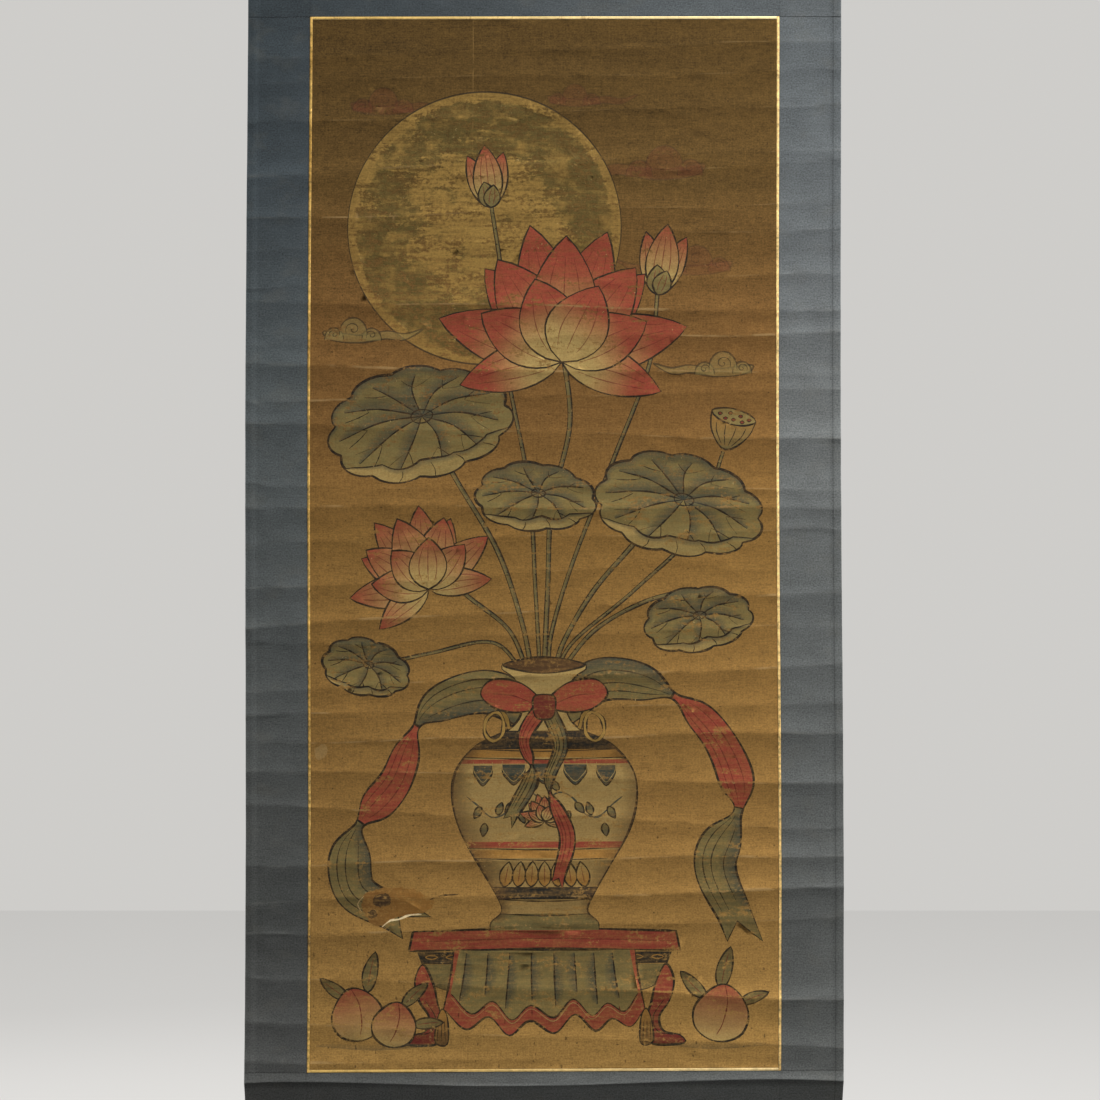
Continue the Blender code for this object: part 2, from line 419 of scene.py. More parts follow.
CREASES = (
    [crease_from(row, 0) for row in TOP_CREASES]
    + [crease_from(row, PICTURE_TOP) for row in PICTURE_CREASES]
    + [crease_from(row, FRAME_BOTTOM) for row in BOTTOM_CREASES]
)
FIRST_PICTURE_CREASE = len(TOP_CREASES)
FIRST_BOTTOM_CREASE = FIRST_PICTURE_CREASE + len(PICTURE_CREASES)


def new_piece(name, points, edges, faces):
    """A new object in the scene, with a mesh of these points, edges and faces."""
    mesh = bpy.data.meshes.new(name)
    mesh.from_pydata(points, edges, faces)
    return added(name, mesh)


crease_table = new_piece("crease_table", [(0, 0, number) for number in range(len(CREASES))], [], [])
for column in Crease._fields:
    values = crease_table.data.attributes.new(column, "FLOAT", "POINT")
    values.data.foreach_set("value", [getattr(crease, column) for crease in CREASES])
print(len(CREASES), "creases in the table")

# %% Where a crease and the hard fold run, for cutting rows of points along them
def crease_down(number, across):
    """How far down the scroll a crease runs at a place across: slanted, and a little wavy."""
    crease = CREASES[number]
    share = (across + HALF_WIDTH) / (2 * HALF_WIDTH)
    waves = FEWEST_WAVES + WAVES_APART * (number % WAVE_KINDS)
    wobble = CREASE_WOBBLE * np.sin(2 * np.pi * waves * share + WAVE_SHIFT * number)
    return crease.left + (crease.right - crease.left) * share + wobble


def fold_down(across):
    """How far down the scroll the hard fold runs: one slow wave that sags at both ends."""
    wave = np.cos(2 * np.pi * (across - FOLD_WAVE_CREST) / FOLD_WAVE_LENGTH)
    return FRAME_BOTTOM + FOLD_DOWN + FOLD_WAVE * wave + FOLD_SAG * (across / HALF_WIDTH) ** FOLD_SAG_POWER


print("the fold lies", round(float(fold_down(0.0) - FRAME_BOTTOM) * 1000, 1), "mm under the gold frame")

# %% [markdown]
# ## A tree that hangs a flat piece
#
# A flat piece lies in the plumb plane, with its front at y = 0 and its back a little behind.
# The tree first stores each point's flat place under the name `place`, so that weave, hems
# and stains can follow the cloth later. Then the Repeat Zone adds each crease to a running
# sum called `out`, and a Set Position node moves the points. A second stored value,
# `ridge`, is 0 beside a crest and grows on it with the crease's depth: paint and dye are
# rubbed away there. Last, every face gets its front finish, or its back finish where it was
# marked as lined with paper.

# %% The numbers that the tree asks for
HANG_SIZES = {
    "Half width": HALF_WIDTH,
    "Scroll height": SCROLL_HEIGHT,
    "Lean": LEAN,
    "Belly": BELLY,
    "Side curl": SIDE_CURL,
    "Sway": SWAY,
    "Skew": SKEW,
    "Reach above": REACH_ABOVE,
    "Reach below": REACH_BELOW,
    "Crease wobble": CREASE_WOBBLE,
    "Crest radius": CREST_RADIUS,
    "Relief": RELIEF,
    "Fold place": FRAME_BOTTOM + FOLD_DOWN,
    "Fold wave": FOLD_WAVE,
    "Fold wave length": FOLD_WAVE_LENGTH,
    "Fold wave crest": FOLD_WAVE_CREST,
    "Fold sag": FOLD_SAG,
    "Fold lip": FOLD_LIP,
    "Fold lip reach": FOLD_LIP_REACH,
    "Fold back": FOLD_BACK,
    "Fold back reach": FOLD_BACK_REACH,
    "Wrinkle height": WRINKLE_HEIGHT,
    "Raised": 0.0,
}


def named_inputs(tree, objects, numbers, finishes):
    """Give a tree its named inputs and its one output, and return a wire from each input."""
    kinds = {"Geometry": "Geometry", **dict.fromkeys(objects, "Object")}
    kinds |= {**dict.fromkeys(numbers, "Float"), **dict.fromkeys(finishes, "Material")}
    for name, kind in kinds.items():
        socket = tree.interface.new_socket(name, in_out="INPUT", socket_type="NodeSocket" + kind)
        if name in numbers:
            socket.default_value = numbers[name]
    tree.interface.new_socket("Geometry", in_out="OUTPUT", socket_type="NodeSocketGeometry")
    inputs = tree.nodes.new("NodeGroupInput")
    return {socket.name: Wire(tree, socket) for socket in inputs.outputs}


print("the hanging tree asks for", len(HANG_SIZES), "numbers")

# %% What is stored on each point
Spot = namedtuple("Spot", "across down side height")


def named(bench, name, kind="FLOAT"):
    """The value stored under a name on each point."""
    return bench.out("GeometryNodeInputNamedAttribute", {"data_type": kind}, {"Name": name})


def store(bench, geometry_wire, name, value, kind="FLOAT"):
    """Store a value under a name on each point."""
    settings = {"data_type": kind, "domain": "POINT"}
    return bench.out(
        "GeometryNodeStoreNamedAttribute", settings, {"Geometry": geometry_wire, "Name": name, "Value": value}
    )


def flat_place(bench):
    """The wires across and down of a point's stored flat place."""
    made = bench.node("ShaderNodeSeparateXYZ", {}, {"Vector": named(bench, "place", "FLOAT_VECTOR")})
    return Wire(bench.tree, made.outputs["X"]), -Wire(bench.tree, made.outputs["Z"])


def flat_spot(bench, size):
    """Each point's flat place, in metres and as shares of the scroll's half width and height."""
    across, down = flat_place(bench)
    return Spot(across, down, across / size["Half width"], down / size["Scroll height"])


print("a point remembers", ", ".join(Spot._fields))

# %% The creases
def one_crease(bench, size, spot, turn):
    """How far one crease of the table lifts each point, and how much it is rubbed there."""
    table = bench.out("GeometryNodeObjectInfo", {}, {"Object": size["Crease table"]}, "Geometry")

    def entry(column):
        """One value of this crease's row in the table."""
        return bench.out(
            "GeometryNodeSampleIndex",
            {"data_type": "FLOAT", "domain": "POINT"},
            {"Geometry": table, "Value": named(bench, column), "Index": turn},
        )

    side = spot.side
    share = side * 0.5 + 0.5
    waves = FEWEST_WAVES + WAVES_APART * turn.left_over(WAVE_KINDS)
    wobble = size["Crease wobble"] * (2 * math.pi * waves * share + WAVE_SHIFT * turn).sine()
    below = spot.down - (entry("left") + (entry("right") - entry("left")) * share + wobble)
    middle = entry("middle_depth")
    slope = (entry("right_depth") - entry("left_depth")) * 0.5
    bend = (entry("right_depth") + entry("left_depth")) * 0.5 - middle
    along = bench.out("ShaderNodeCombineXYZ", {}, {"X": spot.across, "Y": turn * 3.7})
    flat_noise = {"noise_dimensions": "2D"}
    ragged = bench.out("ShaderNodeTexNoise", flat_noise, {"Vector": along, "Scale": 14.0, "Detail": 2.0})
    depth = size["Relief"] * (middle + slope * side + bend * side * side) * (0.55 + 0.9 * ragged)
    crest = size["Crest radius"]
    softened = (below * below + crest * crest).root() - crest
    reach = size["Reach above"] + (size["Reach below"] - size["Reach above"]) * (below > 0)
    rubbed = depth * RUBBED_BY_DEPTH * (-((below * RUBBED_NARROWNESS) ** 2)).exp()
    return depth * (-softened / reach).exp(), rubbed


def with_creases(bench, size, spot, piece):
    """Add every crease to the stored values out and ridge, one in each turn of a Repeat Zone."""
    tree = bench.tree
    start = tree.nodes.new("GeometryNodeRepeatInput")
    end = tree.nodes.new("GeometryNodeRepeatOutput")
    start.pair_with_output(end)
    start.inputs["Iterations"].default_value = len(CREASES)
    tree.links.new(piece.socket, start.inputs["Geometry"])
    relief, rubbed = one_crease(bench, size, spot, Wire(tree, start.outputs["Iteration"]))
    inside = store(bench, Wire(tree, start.outputs["Geometry"]), "out", named(bench, "out") + relief)
    inside = store(bench, inside, "ridge", named(bench, "ridge") + rubbed)
    tree.links.new(inside.socket, end.inputs["Geometry"])
    return Wire(tree, end.outputs["Geometry"])


print("the Repeat Zone will turn", len(CREASES), "times")

# %% The hard fold and the fine wrinkles
def hard_fold(size, spot):
    """The fold stands out in a lip above its line, and the cloth turns back below it."""
    wave = ((spot.across - size["Fold wave crest"]) * (2 * math.pi) / size["Fold wave length"]).cosine()
    sag = size["Fold sag"] * abs(spot.side) ** FOLD_SAG_POWER
    past = spot.down - (size["Fold place"] + size["Fold wave"] * wave + sag)
    is_past = past > 0
    turned_back = size["Fold lip"] - size["Fold back"] * (1 - (-past / size["Fold back reach"]).exp())
    lip = size["Fold lip"] * (past / size["Fold lip reach"]).exp()
    return turned_back * is_past + lip * (1 - is_past)


def fine_wrinkles(bench, size, spot):
    """Small wrinkles that run mostly across the scroll, each pinched to a line."""
    places = {"X": spot.across * WRINKLES_ACROSS, "Y": spot.down * WRINKLES_DOWN}
    stretched = bench.out("ShaderNodeCombineXYZ", {}, places)
    flat_noise = {"noise_dimensions": "2D"}
    crumple = bench.out("ShaderNodeTexNoise", flat_noise, {"Vector": stretched, "Scale": 1.0, "Detail": 3.0})
    pinch = (-abs(crumple - 0.5) * WRINKLE_PINCH).exp()
    return size["Wrinkle height"] * (pinch + crumple * 2 - 1)


print("the fold and the wrinkles can be added")

# %% Build the hanging tree
def build_hang_tree():
    """The Geometry Nodes tree that lays a flat piece on the hanging surface."""
    tree = bpy.data.node_groups.new("Hang on the creased surface", "GeometryNodeTree")
    bench = Bench(tree)
    size = named_inputs(tree, ["Crease table"], HANG_SIZES, ["Front finish", "Back finish"])
    position = bench.out("GeometryNodeInputPosition")
    piece = store(bench, size["Geometry"], "place", position, "FLOAT_VECTOR")
    spot = flat_spot(bench, size)
    bow = (spot.height * math.pi).sine()
    curl = size["Side curl"] * spot.side**4 * bow
    piece = store(bench, piece, "out", size["Lean"] * spot.height**1.5 + size["Belly"] * bow - curl)
    piece = store(bench, piece, "ridge", spot.height * 0)
    piece = with_creases(bench, size, spot, piece)

    out = named(bench, "out") + hard_fold(size, spot) + fine_wrinkles(bench, size, spot) + size["Raised"]
    sway = size["Sway"] * (spot.height * (2 * math.pi / SWAY_SHARE)).sine()
    skew = size["Skew"] * spot.side * spot.height
    shift = bench.out("ShaderNodeCombineXYZ", {}, {"X": sway, "Y": -out, "Z": skew})
    moved = bench.out("GeometryNodeSetPosition", {}, {"Geometry": piece, "Offset": shift})
    bare = bench.out("GeometryNodeRemoveAttribute", {}, {"Geometry": moved, "Name": "out"})
    real = bench.out("GeometryNodeRealizeInstances", {}, {"Geometry": bare})
    front = bench.out("GeometryNodeSetMaterial", {}, {"Geometry": real, "Material": size["Front finish"]})
    sockets = {"Selection": named(bench, "lined", "BOOLEAN"), "Material": size["Back finish"]}
    both = bench.out("GeometryNodeSetMaterial", {}, {"Geometry": front, **sockets})
    outputs = tree.nodes.new("NodeGroupOutput")
    tree.links.new(both.socket, outputs.inputs[0])
    return tree


hang_tree = build_hang_tree()
print("hanging tree:", len(hang_tree.nodes), "nodes")

# %% Run a tree on an object and keep the plain mesh
def set_input(modifier, name, value):
    """Set a tree's named input on its modifier."""
    for item in modifier.node_group.interface.items_tree:
        if item.item_type == "SOCKET" and item.in_out == "INPUT" and item.name == name:
            modifier[item.identifier] = value


def worked(piece, tree, **sizes):
    """Run a tree on a piece, and swap the piece's mesh for the plain result."""
    modifier = piece.modifiers.new(tree.name, "NODES")
    modifier.node_group = tree
    for name, value in sizes.items():
        set_input(modifier, name.replace("_", " "), value)
    evaluated = piece.evaluated_get(bpy.context.evaluated_depsgraph_get())
    mesh = bpy.data.meshes.new_from_object(evaluated)
    piece.modifiers.remove(modifier)
    old = piece.data
    piece.data = mesh
    bpy.data.meshes.remove(old)
    mesh.name = piece.name
    return piece


def hung(piece, front, back, **sizes):
    """Hang a flat piece on the creased surface, and give it its two finishes."""
    finishes = {"Front_finish": front, "Back_finish": back}
    return worked(piece, hang_tree, Crease_table=crease_table, **finishes, **sizes)


print("pieces can be hung")

# %% [markdown]
# ## Cutting flat pieces
#
# A sheet is a closed body: a front, a back, and between them one ring of points half-way
# through its thickness, just outside the other two. That ring is what makes the cut edge
# look soft and rounded at no cost. The rows of points follow the creases and crowd
# together beside them, because a crest needs close rows and the flat between two does not.

# %% Rows and columns of points
EDGE_ROUND = 0.12 * MM
ROW_SPACING = 4.5 * MM
ON_THE_LINE = 0.01 * MM
HEM_LIFT = 0.15 * MM


def level(down):
    """A straight row of points across the scroll."""
    return lambda across: down + 0 * across


def along_crease(number):
    """A row of points that follows a crease."""
    return lambda across: crease_down(number, across)


def beside_fold(drop):
    """A row of points that follows the hard fold, some way below it."""
    return lambda across: fold_down(across) + drop


def picture_creases():
    """The rows that follow the creases beside the picture."""
    return [along_crease(number) for number in range(FIRST_PICTURE_CREASE, FIRST_BOTTOM_CREASE)]


def rows_through(lines):
    """Rows of points between each line and the next, closest together beside the lines."""
    rows = []
    for upper, lower in zip(lines, lines[1:]):
        gap = float(lower(0.0) - upper(0.0))
        count = max(3, round(gap / ROW_SPACING))
        rows.append(upper)
        for step in range(1, count):
            share = 0.5 - 0.5 * math.cos(math.pi * step / count)
            rows.append(lambda across, a=upper, b=lower, t=share: a(across) * (1 - t) + b(across) * t)
    return rows + [lines[-1]]


def columns_through(places, spacing):
    """Even columns of points between named places across the scroll."""
    columns = []
    for left, right in zip(places, places[1:]):
        count = max(1, round((right - left) / spacing))
        columns += [left + (right - left) * step / count for step in range(count)]
    return np.array(columns + [places[-1]])


def grid(columns, rows):
    """The points (across, up) of a flat grid, and its faces, seen from the front."""
    downs = np.array([row(columns) for row in rows])
    points = np.stack([np.broadcast_to(columns, downs.shape), -downs], axis=2).reshape(-1, 2)
    wide = len(columns)
    corner = np.arange(len(rows) - 1)[:, None] * wide + np.arange(wide - 1)
    faces = np.stack([corner, corner + wide, corner + wide + 1, corner + 1], axis=2).reshape(-1, 4)
    return points, faces.tolist()


picture_lines = [level(PICTURE_TOP), *picture_creases(), level(PICTURE_BOTTOM)]
print("rows beside the picture:", len(rows_through(picture_lines)))

# %% A closed sheet
def around(points, outline):
    """The numbers of the points on a rectangle's outline, clockwise from its top left corner."""
    left, right, top, bottom = outline
    x, z = points.T
    width, height = right - left, top - bottom
    travelled = np.full(len(points), -1.0)
    for from_side, way in (
        (x - left, 2 * width + height + (z - bottom)),
        (z - bottom, width + height + (right - x)),
        (x - right, width + (top - z)),
        (z - top, x - left),
    ):
        on_side = np.abs(from_side) < ON_THE_LINE
        travelled[on_side] = way[on_side]
    on_it = np.flatnonzero(travelled > -0.5)
    return on_it[np.argsort(travelled[on_it])]


def closed_sheet(name, front, back, outline, in_hem=None):
    """A flat closed sheet: front and back are (points, faces) with the same outline points."""
    left, right, top, bottom = outline
    inner = (left + EDGE_ROUND, bottom + EDGE_ROUND), (right - EDGE_ROUND, top - EDGE_ROUND)
    front_points, front_faces = front
    back_points, back_faces = back
    hem = in_hem(back_points) if in_hem else np.zeros(len(back_points))
    front_hem = in_hem(front_points) if in_hem else np.zeros(len(front_points))
    thickness = SHEET_THICKNESS + (HEM_THICKNESS - SHEET_THICKNESS) * hem
    front_rim = around(front_points, outline)
    back_rim = around(back_points, outline)
    drawn_in = np.clip(front_points, *inner)
    layers = [
        np.stack([drawn_in[:, 0], -HEM_LIFT * front_hem, drawn_in[:, 1]], 1),
        np.stack([front_points[front_rim, 0], thickness[back_rim] / 2, front_points[front_rim, 1]], 1),
        np.stack([*np.clip(back_points, *inner).T, thickness], 1)[:, [0, 2, 1]],
    ]
    first_ring = len(front_points)
    first_back = first_ring + len(front_rim)
    faces = [list(face) for face in front_faces]
    count = len(front_rim)
    assert count == len(back_rim), f"{name}: {count} points round the front, {len(back_rim)} round the back"
    for here in range(count):
        after = (here + 1) % count
        ring_here = first_ring + here
        ring_after = first_ring + after
        faces.append([front_rim[here], front_rim[after], ring_after, ring_here])
        faces.append([ring_here, ring_after, first_back + back_rim[after], first_back + back_rim[here]])
    faces += [[first_back + corner for corner in reversed(face)] for face in back_faces]
    sheet = new_piece(name, np.concatenate(layers), [], [list(map(int, face)) for face in faces])
    sheet.data.shade_smooth()
    sheet.data.set_sharp_from_angle(angle=math.radians(35))
    return sheet


def mark_lined(piece, lined):
    """Store on each face whether it is lined with paper."""
    piece.data.attributes.new("lined", "BOOLEAN", "FACE").data.foreach_set("value", lined)


def volume(piece):
    """The volume inside a closed mesh; it comes out negative if the faces point inwards."""
    mesh = piece.data
    mesh.calc_loop_triangles()
    points = np.array([vert.co for vert in mesh.vertices])
    corners = points[np.array([triangle.vertices for triangle in mesh.loop_triangles])]
    return float((np.cross(corners[:, 0], corners[:, 1]) * corners[:, 2]).sum() / 6)


print("sheets can be cut")

# %% [markdown]
# ## Brush and pigment
#
# A picture on silk needs only ink and a few opaque colours ground from earth and stone. A
# painter lays a shape's flat colour first, often softening it into a second one. Thin dark
# colour then models the folds, and an ink line closes the shape last.
#
# This lesson paints in the same order. A `Layer` is one closed outline, in millimetres across
# from the middle line and down from the picture's top edge. It also holds two functions that
# give the colour and the cover at any place inside, its wear, and whether it hides what lies
# under it. Nothing is drawn yet: the layers are collected in a list, and the picture sheet
# is cut along them later, so that every brush line has a clean edge however close one looks.

# %% Pigments, and the list of layers
INK = (36, 31, 24)
CRIMSON = (142, 64, 46)
DEEP_RED = (102, 40, 32)
FADED_RED = (100, 50, 34)
CREAM = (166, 140, 84)
PALE_SAGE = (128, 112, 66)
SAGE = (110, 97, 58)
OLIVE = (86, 74, 43)
SLATE = (60, 64, 54)
BROWN = (78, 55, 32)
OCHRE = (150, 108, 50)
GOLD = (132, 103, 48)
PALE_GOLD = (150, 119, 60)
BLACK = (36, 34, 29)

Layer = namedtuple("Layer", "outline colour cover wear hides")
layers = []
hand = random.Random(7)


def tone(colour):
    """A colour written as three 8-bit numbers, as the linear numbers that shaders use."""
    share = np.array(colour) / 255
    return np.where(share > 0.04045, ((share + 0.055) / 1.055) ** 2.4, share / 12.92)


def plain(shade):
    """One colour wherever it is asked for."""
    return lambda places: np.tile(shade, (len(places), 1))


print("the darkest and the palest pigment, as linear numbers:", tone(INK).round(3), tone(CREAM).round(3))

# %% [markdown]
# ### Curves and places
#
# Every outline starts as a few given points. A spline that passes through all of them
# turns them into a smooth curve, and a ribbon runs at a given distance to both sides of it.
# Small motifs are drawn round the origin, and `placed` scales, turns and moves them.

# %% Curves and places
def smooth(points, closed=False, step=4.0):
    """A soft curve through a few given points, with a point about every step."""
    points = np.array(points, float)
    if closed:
        ring = np.concatenate([points[-1:], points, points[:2]])
    else:
        ring = np.concatenate([2 * points[:1] - points[1:2], points, 2 * points[-1:] - points[-2:-1]])
    curve = []
    for before, start, end, after in zip(ring, ring[1:], ring[2:], ring[3:]):
        count = max(2, math.ceil(np.linalg.norm(end - start) / step))
        for share in np.arange(count) / count:
            pull = (end - before) * share + (2 * before - 5 * start + 4 * end - after) * share**2
            pull += (3 * start - before - 3 * end + after) * share**3
            curve.append(start + pull / 2)
    return np.array(curve if closed else curve + [points[-1]])


def nearest(places, path):
    """How far each place is from a path, and at what share of the path it is nearest."""
    step = path[1:] - path[:-1]
    offset = places[:, None] - path[:-1]
    share = np.clip((offset * step).sum(2) / (step * step).sum(1), 0, 1)
    gap = np.linalg.norm(offset - share[..., None] * step, axis=2)
    best = gap.argmin(1)
    row = np.arange(len(places))
    return gap[row, best], (best + share[row, best]) / len(step)


def ribbon_sides(path, left, right):
    """The two sides of a ribbon along a path."""
    along = np.gradient(path, axis=0)
    along /= np.linalg.norm(along, axis=1)[:, None] + 1e-9
    normal = np.stack([along[:, 1], -along[:, 0]], axis=1)
    return path + normal * left[:, None], path - normal * right[:, None]


def placed(points, centre, turn=0.0, scale=(1, 1)):
    """Points drawn round the origin, scaled, turned clockwise in degrees and moved to a centre."""
    angle = math.radians(turn)
    x, y = (np.array(points, float) * scale).T
    return np.stack([
        centre[0] + x * math.cos(angle) - y * math.sin(angle),
        centre[1] + x * math.sin(angle) + y * math.cos(angle),
    ], axis=1)


def fork(shape, side):
    """A shape on the right-hand side (side 1), or mirrored to the left (side -1)."""
    return np.array(shape, float) * (side, 1)


arch = smooth([(-10, 0), (0, -10), (10, 0)])
print("an arch through 3 points has", len(arch), "points")

# %% [markdown]
# ### Three ways to touch the silk
#
# `fill` is flat colour, or one colour turning into another along a line. `wash` is thin dark
# colour that is strongest on one line and fades to one side, which makes cloth look folded.
# `ink` is the outline. A brush line is never even: it swells in the middle, thins where the
# brush lifts, and wavers with the hand, so its width follows two slow waves.

# %% Fill, wash and ink
def fill(outline, colour, to_colour=None, start=None, end=None, cover=1.0, to_cover=None, wear=0.3):
    """One flat or shaded area of pigment, from one colour at start to another at end."""
    first = tone(colour)
    last = first if to_colour is None else tone(to_colour)
    fading = cover if to_cover is None else to_cover
    start = np.array((0, 0) if start is None else start, float)
    run = np.array((0, 1) if end is None else end, float) - start

    def share(places):
        return np.clip((places - start) @ run / (run @ run), 0, 1)

    layers.append(Layer(
        np.array(outline, float),
        lambda places: first + share(places)[:, None] * (last - first),
        lambda places: cover + share(places) * (fading - cover),
        wear, min(cover, fading) >= 1,
    ))


def wash(points, width, colour=SLATE, cover=0.85, side=1, ready=False):
    """A soft band of thin colour beside a line, darkest on the line: side 1 or -1 picks where."""
    path = np.array(points, float) if ready else smooth(points)
    share = np.linspace(0, 1, len(path))
    reach = width * (0.25 + 0.75 * np.sin(np.pi * share) ** 0.7)
    none = np.full(len(path), 0.05)
    left, right = ribbon_sides(path, reach if side > 0 else none, none if side > 0 else reach)
    outline = np.concatenate([left, right[::-1]])

    def density(places):
        gap, spot = nearest(places, path)
        return cover * np.clip(1 - gap / np.interp(spot, share, reach), 0, 1) ** 0.7

    layers.append(Layer(outline, plain(tone(colour)), density, 0.3, False))


def ink(points, width=1.8, colour=INK, cover=1.0, closed=False, lift=0.35, ready=False):
    """A brush line: it swells in its middle, thins at its ends and wavers as a hand does."""
    path = np.array(points, float) if ready else smooth(points, closed)
    if closed:
        path = np.concatenate([path, path[:1]])
    share = np.linspace(0, 1, len(path))
    swell = 1.0 if closed else lift + (1 - lift) * np.sin(np.pi * share) ** 0.5
    beat = hand.uniform(2, 4)
    half = width / 2 * swell * (1 + 0.28 * np.sin(2 * np.pi * beat * share + hand.uniform(0, 6)))
    half = np.maximum(half * np.ones(len(path)), 0.22)
    left, right = ribbon_sides(path, half, half)
    outline = np.concatenate([left, right[::-1]])
    layers.append(Layer(outline, plain(tone(colour)), lambda places: np.full(len(places), cover), 0.2, False))


def outlined(outline, width, *colours, **shading):
    """A filled shape with an ink line round it."""
    fill(outline, *colours, **shading)
    ink(outline, width, closed=True, ready=True)


print("brushes and pigments are ready")

# %% [markdown]
# ## Lotus flowers
#
# A petal is the unit that every flower repeats. Its two sides swell along a bent spine, its
# colour runs from cream at the base to crimson at the tip, and fine veins follow the sides.
# A flower is three rows of petals, painted from the back row to the front one, so that each
# row covers the feet of the row behind. A bud is three petals and two sepals.

# %% Petals, blossoms and buds
PETAL_COLOURS = (CREAM, CRIMSON)
SEPAL_COLOURS = (SAGE, PALE_SAGE)

# Each petal of a blossom: turn in degrees, then length, width and bend as shares of its size
BLOSSOM_ROWS = [
    [(-38, 0.86, 0.40, -0.05), (38, 0.86, 0.40, 0.05), (-14, 1.0, 0.42, -0.02), (16, 0.98, 0.42, 0.02)],
    [(-66, 0.92, 0.40, -0.10), (66, 0.92, 0.40, 0.10), (-30, 0.86, 0.46, -0.06), (32, 0.85, 0.46, 0.06)]
    + [(0, 0.9, 0.48, 0)],
    [(-92, 0.72, 0.34, -0.16), (92, 0.72, 0.34, 0.16), (-52, 0.66, 0.42, -0.10), (54, 0.66, 0.42, 0.10)]
    + [(-16, 0.62, 0.44, -0.04), (20, 0.6, 0.44, 0.04)],
]


def petal(base, turn, length, width, bend=0.0, colours=PETAL_COLOURS, veins=3, point=0.8, flush=0.95):
    """One petal from its base: cream there, crimson at the tip, with fine veins."""
    base = np.array(base, float)
    share = np.linspace(0, 1, 13)
    half = width / 2 * np.sin(np.pi * share**0.85) ** point
    spine = bend * share**2
    side = np.stack([spine - half, -length * share], 1)
    other_side = np.stack([spine + half, -length * share], 1)
    outline = placed(np.concatenate([side, other_side[-2:0:-1]]), base, turn)
    tip = placed([(bend, -length)], base, turn)[0]
    fill(outline, *colours, base + 0.3 * (tip - base), base + flush * (tip - base))
    for number in range(veins):
        across = (number + 1) / (veins + 1) * 2 - 1
        line = np.stack([spine + across * half * 0.95, -length * share], 1)[2:11:2]
        ink(placed(line, base, turn), 0.9, DEEP_RED, 0.8)
    ink(outline, 1.5, closed=True, ready=True)


def blossom(base, size, turn=0, flush=0.95):
    """A lotus flower: petals in rows, the ones at the back first."""
    for row in BLOSSOM_ROWS:
        for angle, length, width, bend in row:
            petal(base, turn + angle, size * length, size * width, size * bend, flush=flush)


def bud(base, size, turn=0):
    """A closed flower: three petals, and two sepals in front of them."""
    petal(base, turn - 16, size * 0.9, size * 0.36, -0.04 * size)
    petal(base, turn + 16, size * 0.9, size * 0.36, 0.04 * size)
    petal(base, turn, size, size * 0.46)
    petal(base, turn - 9, size * 0.42, size * 0.3, 0, SEPAL_COLOURS, 2)
    petal(base, turn + 13, size * 0.36, size * 0.26, 0, SEPAL_COLOURS, 2)


print("a blossom has", sum(len(row) for row in BLOSSOM_ROWS), "petals")

# %% [markdown]
# ## Stems and leaves
#
# A lotus stem is round and prickly, so one side gets a dark wash and short strokes cross it.
# A leaf is a scalloped disc seen at a slant. Its veins run from a point near the upper
# middle, each with a wash beside it and a fork near its end, and its near edge turns up to
# show a paler underside.

# %% Stems
def stem(points, width=4.2):
    """A prickly stem along a path."""
    path = smooth(points)
    half = np.full(len(path), width / 2)
    left, right = ribbon_sides(path, half, half)
    fill(np.concatenate([left, right[::-1]]), SAGE)
    wash(left, width * 0.7, SLATE, 0.8, -1, ready=True)
    ink(left, 1.2, ready=True, lift=0.8)
    ink(right, 1.0, ready=True, lift=0.8)
    for place in path[3:-2:4]:
        side = hand.choice((-1, 1)) * width * 0.25
        ink([place + (side - 0.7, -0.4), place + (side + 0.7, 0.4)], 0.9, ready=True, lift=0.9)


print("stems have a prickle about every 16 mm")

# %% Leaves
def leaf(centre, wide, high, turn=0, lobes=11, fold=0.34, heart=(0.05, -0.12)):
    """A lotus leaf seen from one side: scalloped edge, radiating veins, near edge turned up."""
    scale = (wide, high)
    angle = np.linspace(0, 2 * np.pi, lobes * 10 + 1)[:-1]
    notch = np.abs(np.sin(lobes * angle / 2 + 0.4))
    radius = 0.9 + 0.1 * notch**0.6 + 0.025 * np.sin(3 * angle + 1)
    ring = np.stack([radius * np.cos(angle), radius * np.sin(angle)], 1)

    def on_leaf(points):
        return placed(points, centre, turn, scale)

    outline = on_leaf(ring)
    fill(outline, SAGE, PALE_SAGE, *on_leaf([(0, -1), (0, 1)]))
    for number in range(lobes):
        way = (number + 0.5) * 2 * np.pi / lobes - 0.8 / lobes
        leaf_vein(on_leaf, way, heart, 0.17 * min(scale) + 3)
    ink(on_leaf(0.12 * ring[::8] + heart), 1.3, closed=True)
    wash(outline[len(outline) // 2 :], 9, SLATE, 0.75, -1, ready=True)
    ink(outline, 2.2, closed=True, ready=True)
    turned_edge(on_leaf, ring[(angle > 0.1 * np.pi) & (angle < 0.82 * np.pi)], fold)


def leaf_vein(on_leaf, way, heart, shade_width):
    """One vein from the leaf's heart in a given direction, with a wash and a forked end."""
    end = 0.86 * np.array([math.cos(way), math.sin(way)])
    half_way = (np.array(heart) + end) / 2 + (0.06 * math.sin(way), -0.1)
    line = on_leaf([heart, half_way, end])
    wash(line, shade_width, SLATE, 0.75, 1 if math.cos(way) > 0 else -1)
    ink(line, 1.5, lift=0.25)
    for lean in (-0.2, 0.2):
        tip = 0.8 * np.array([math.cos(way + lean), math.sin(way + lean)])
        root = (half_way + end) / 2 - 0.1 * end
        ink(on_leaf([root, (root + tip) / 2 - 0.02 * end, tip]), 0.9, OLIVE if lean > 0 else INK)


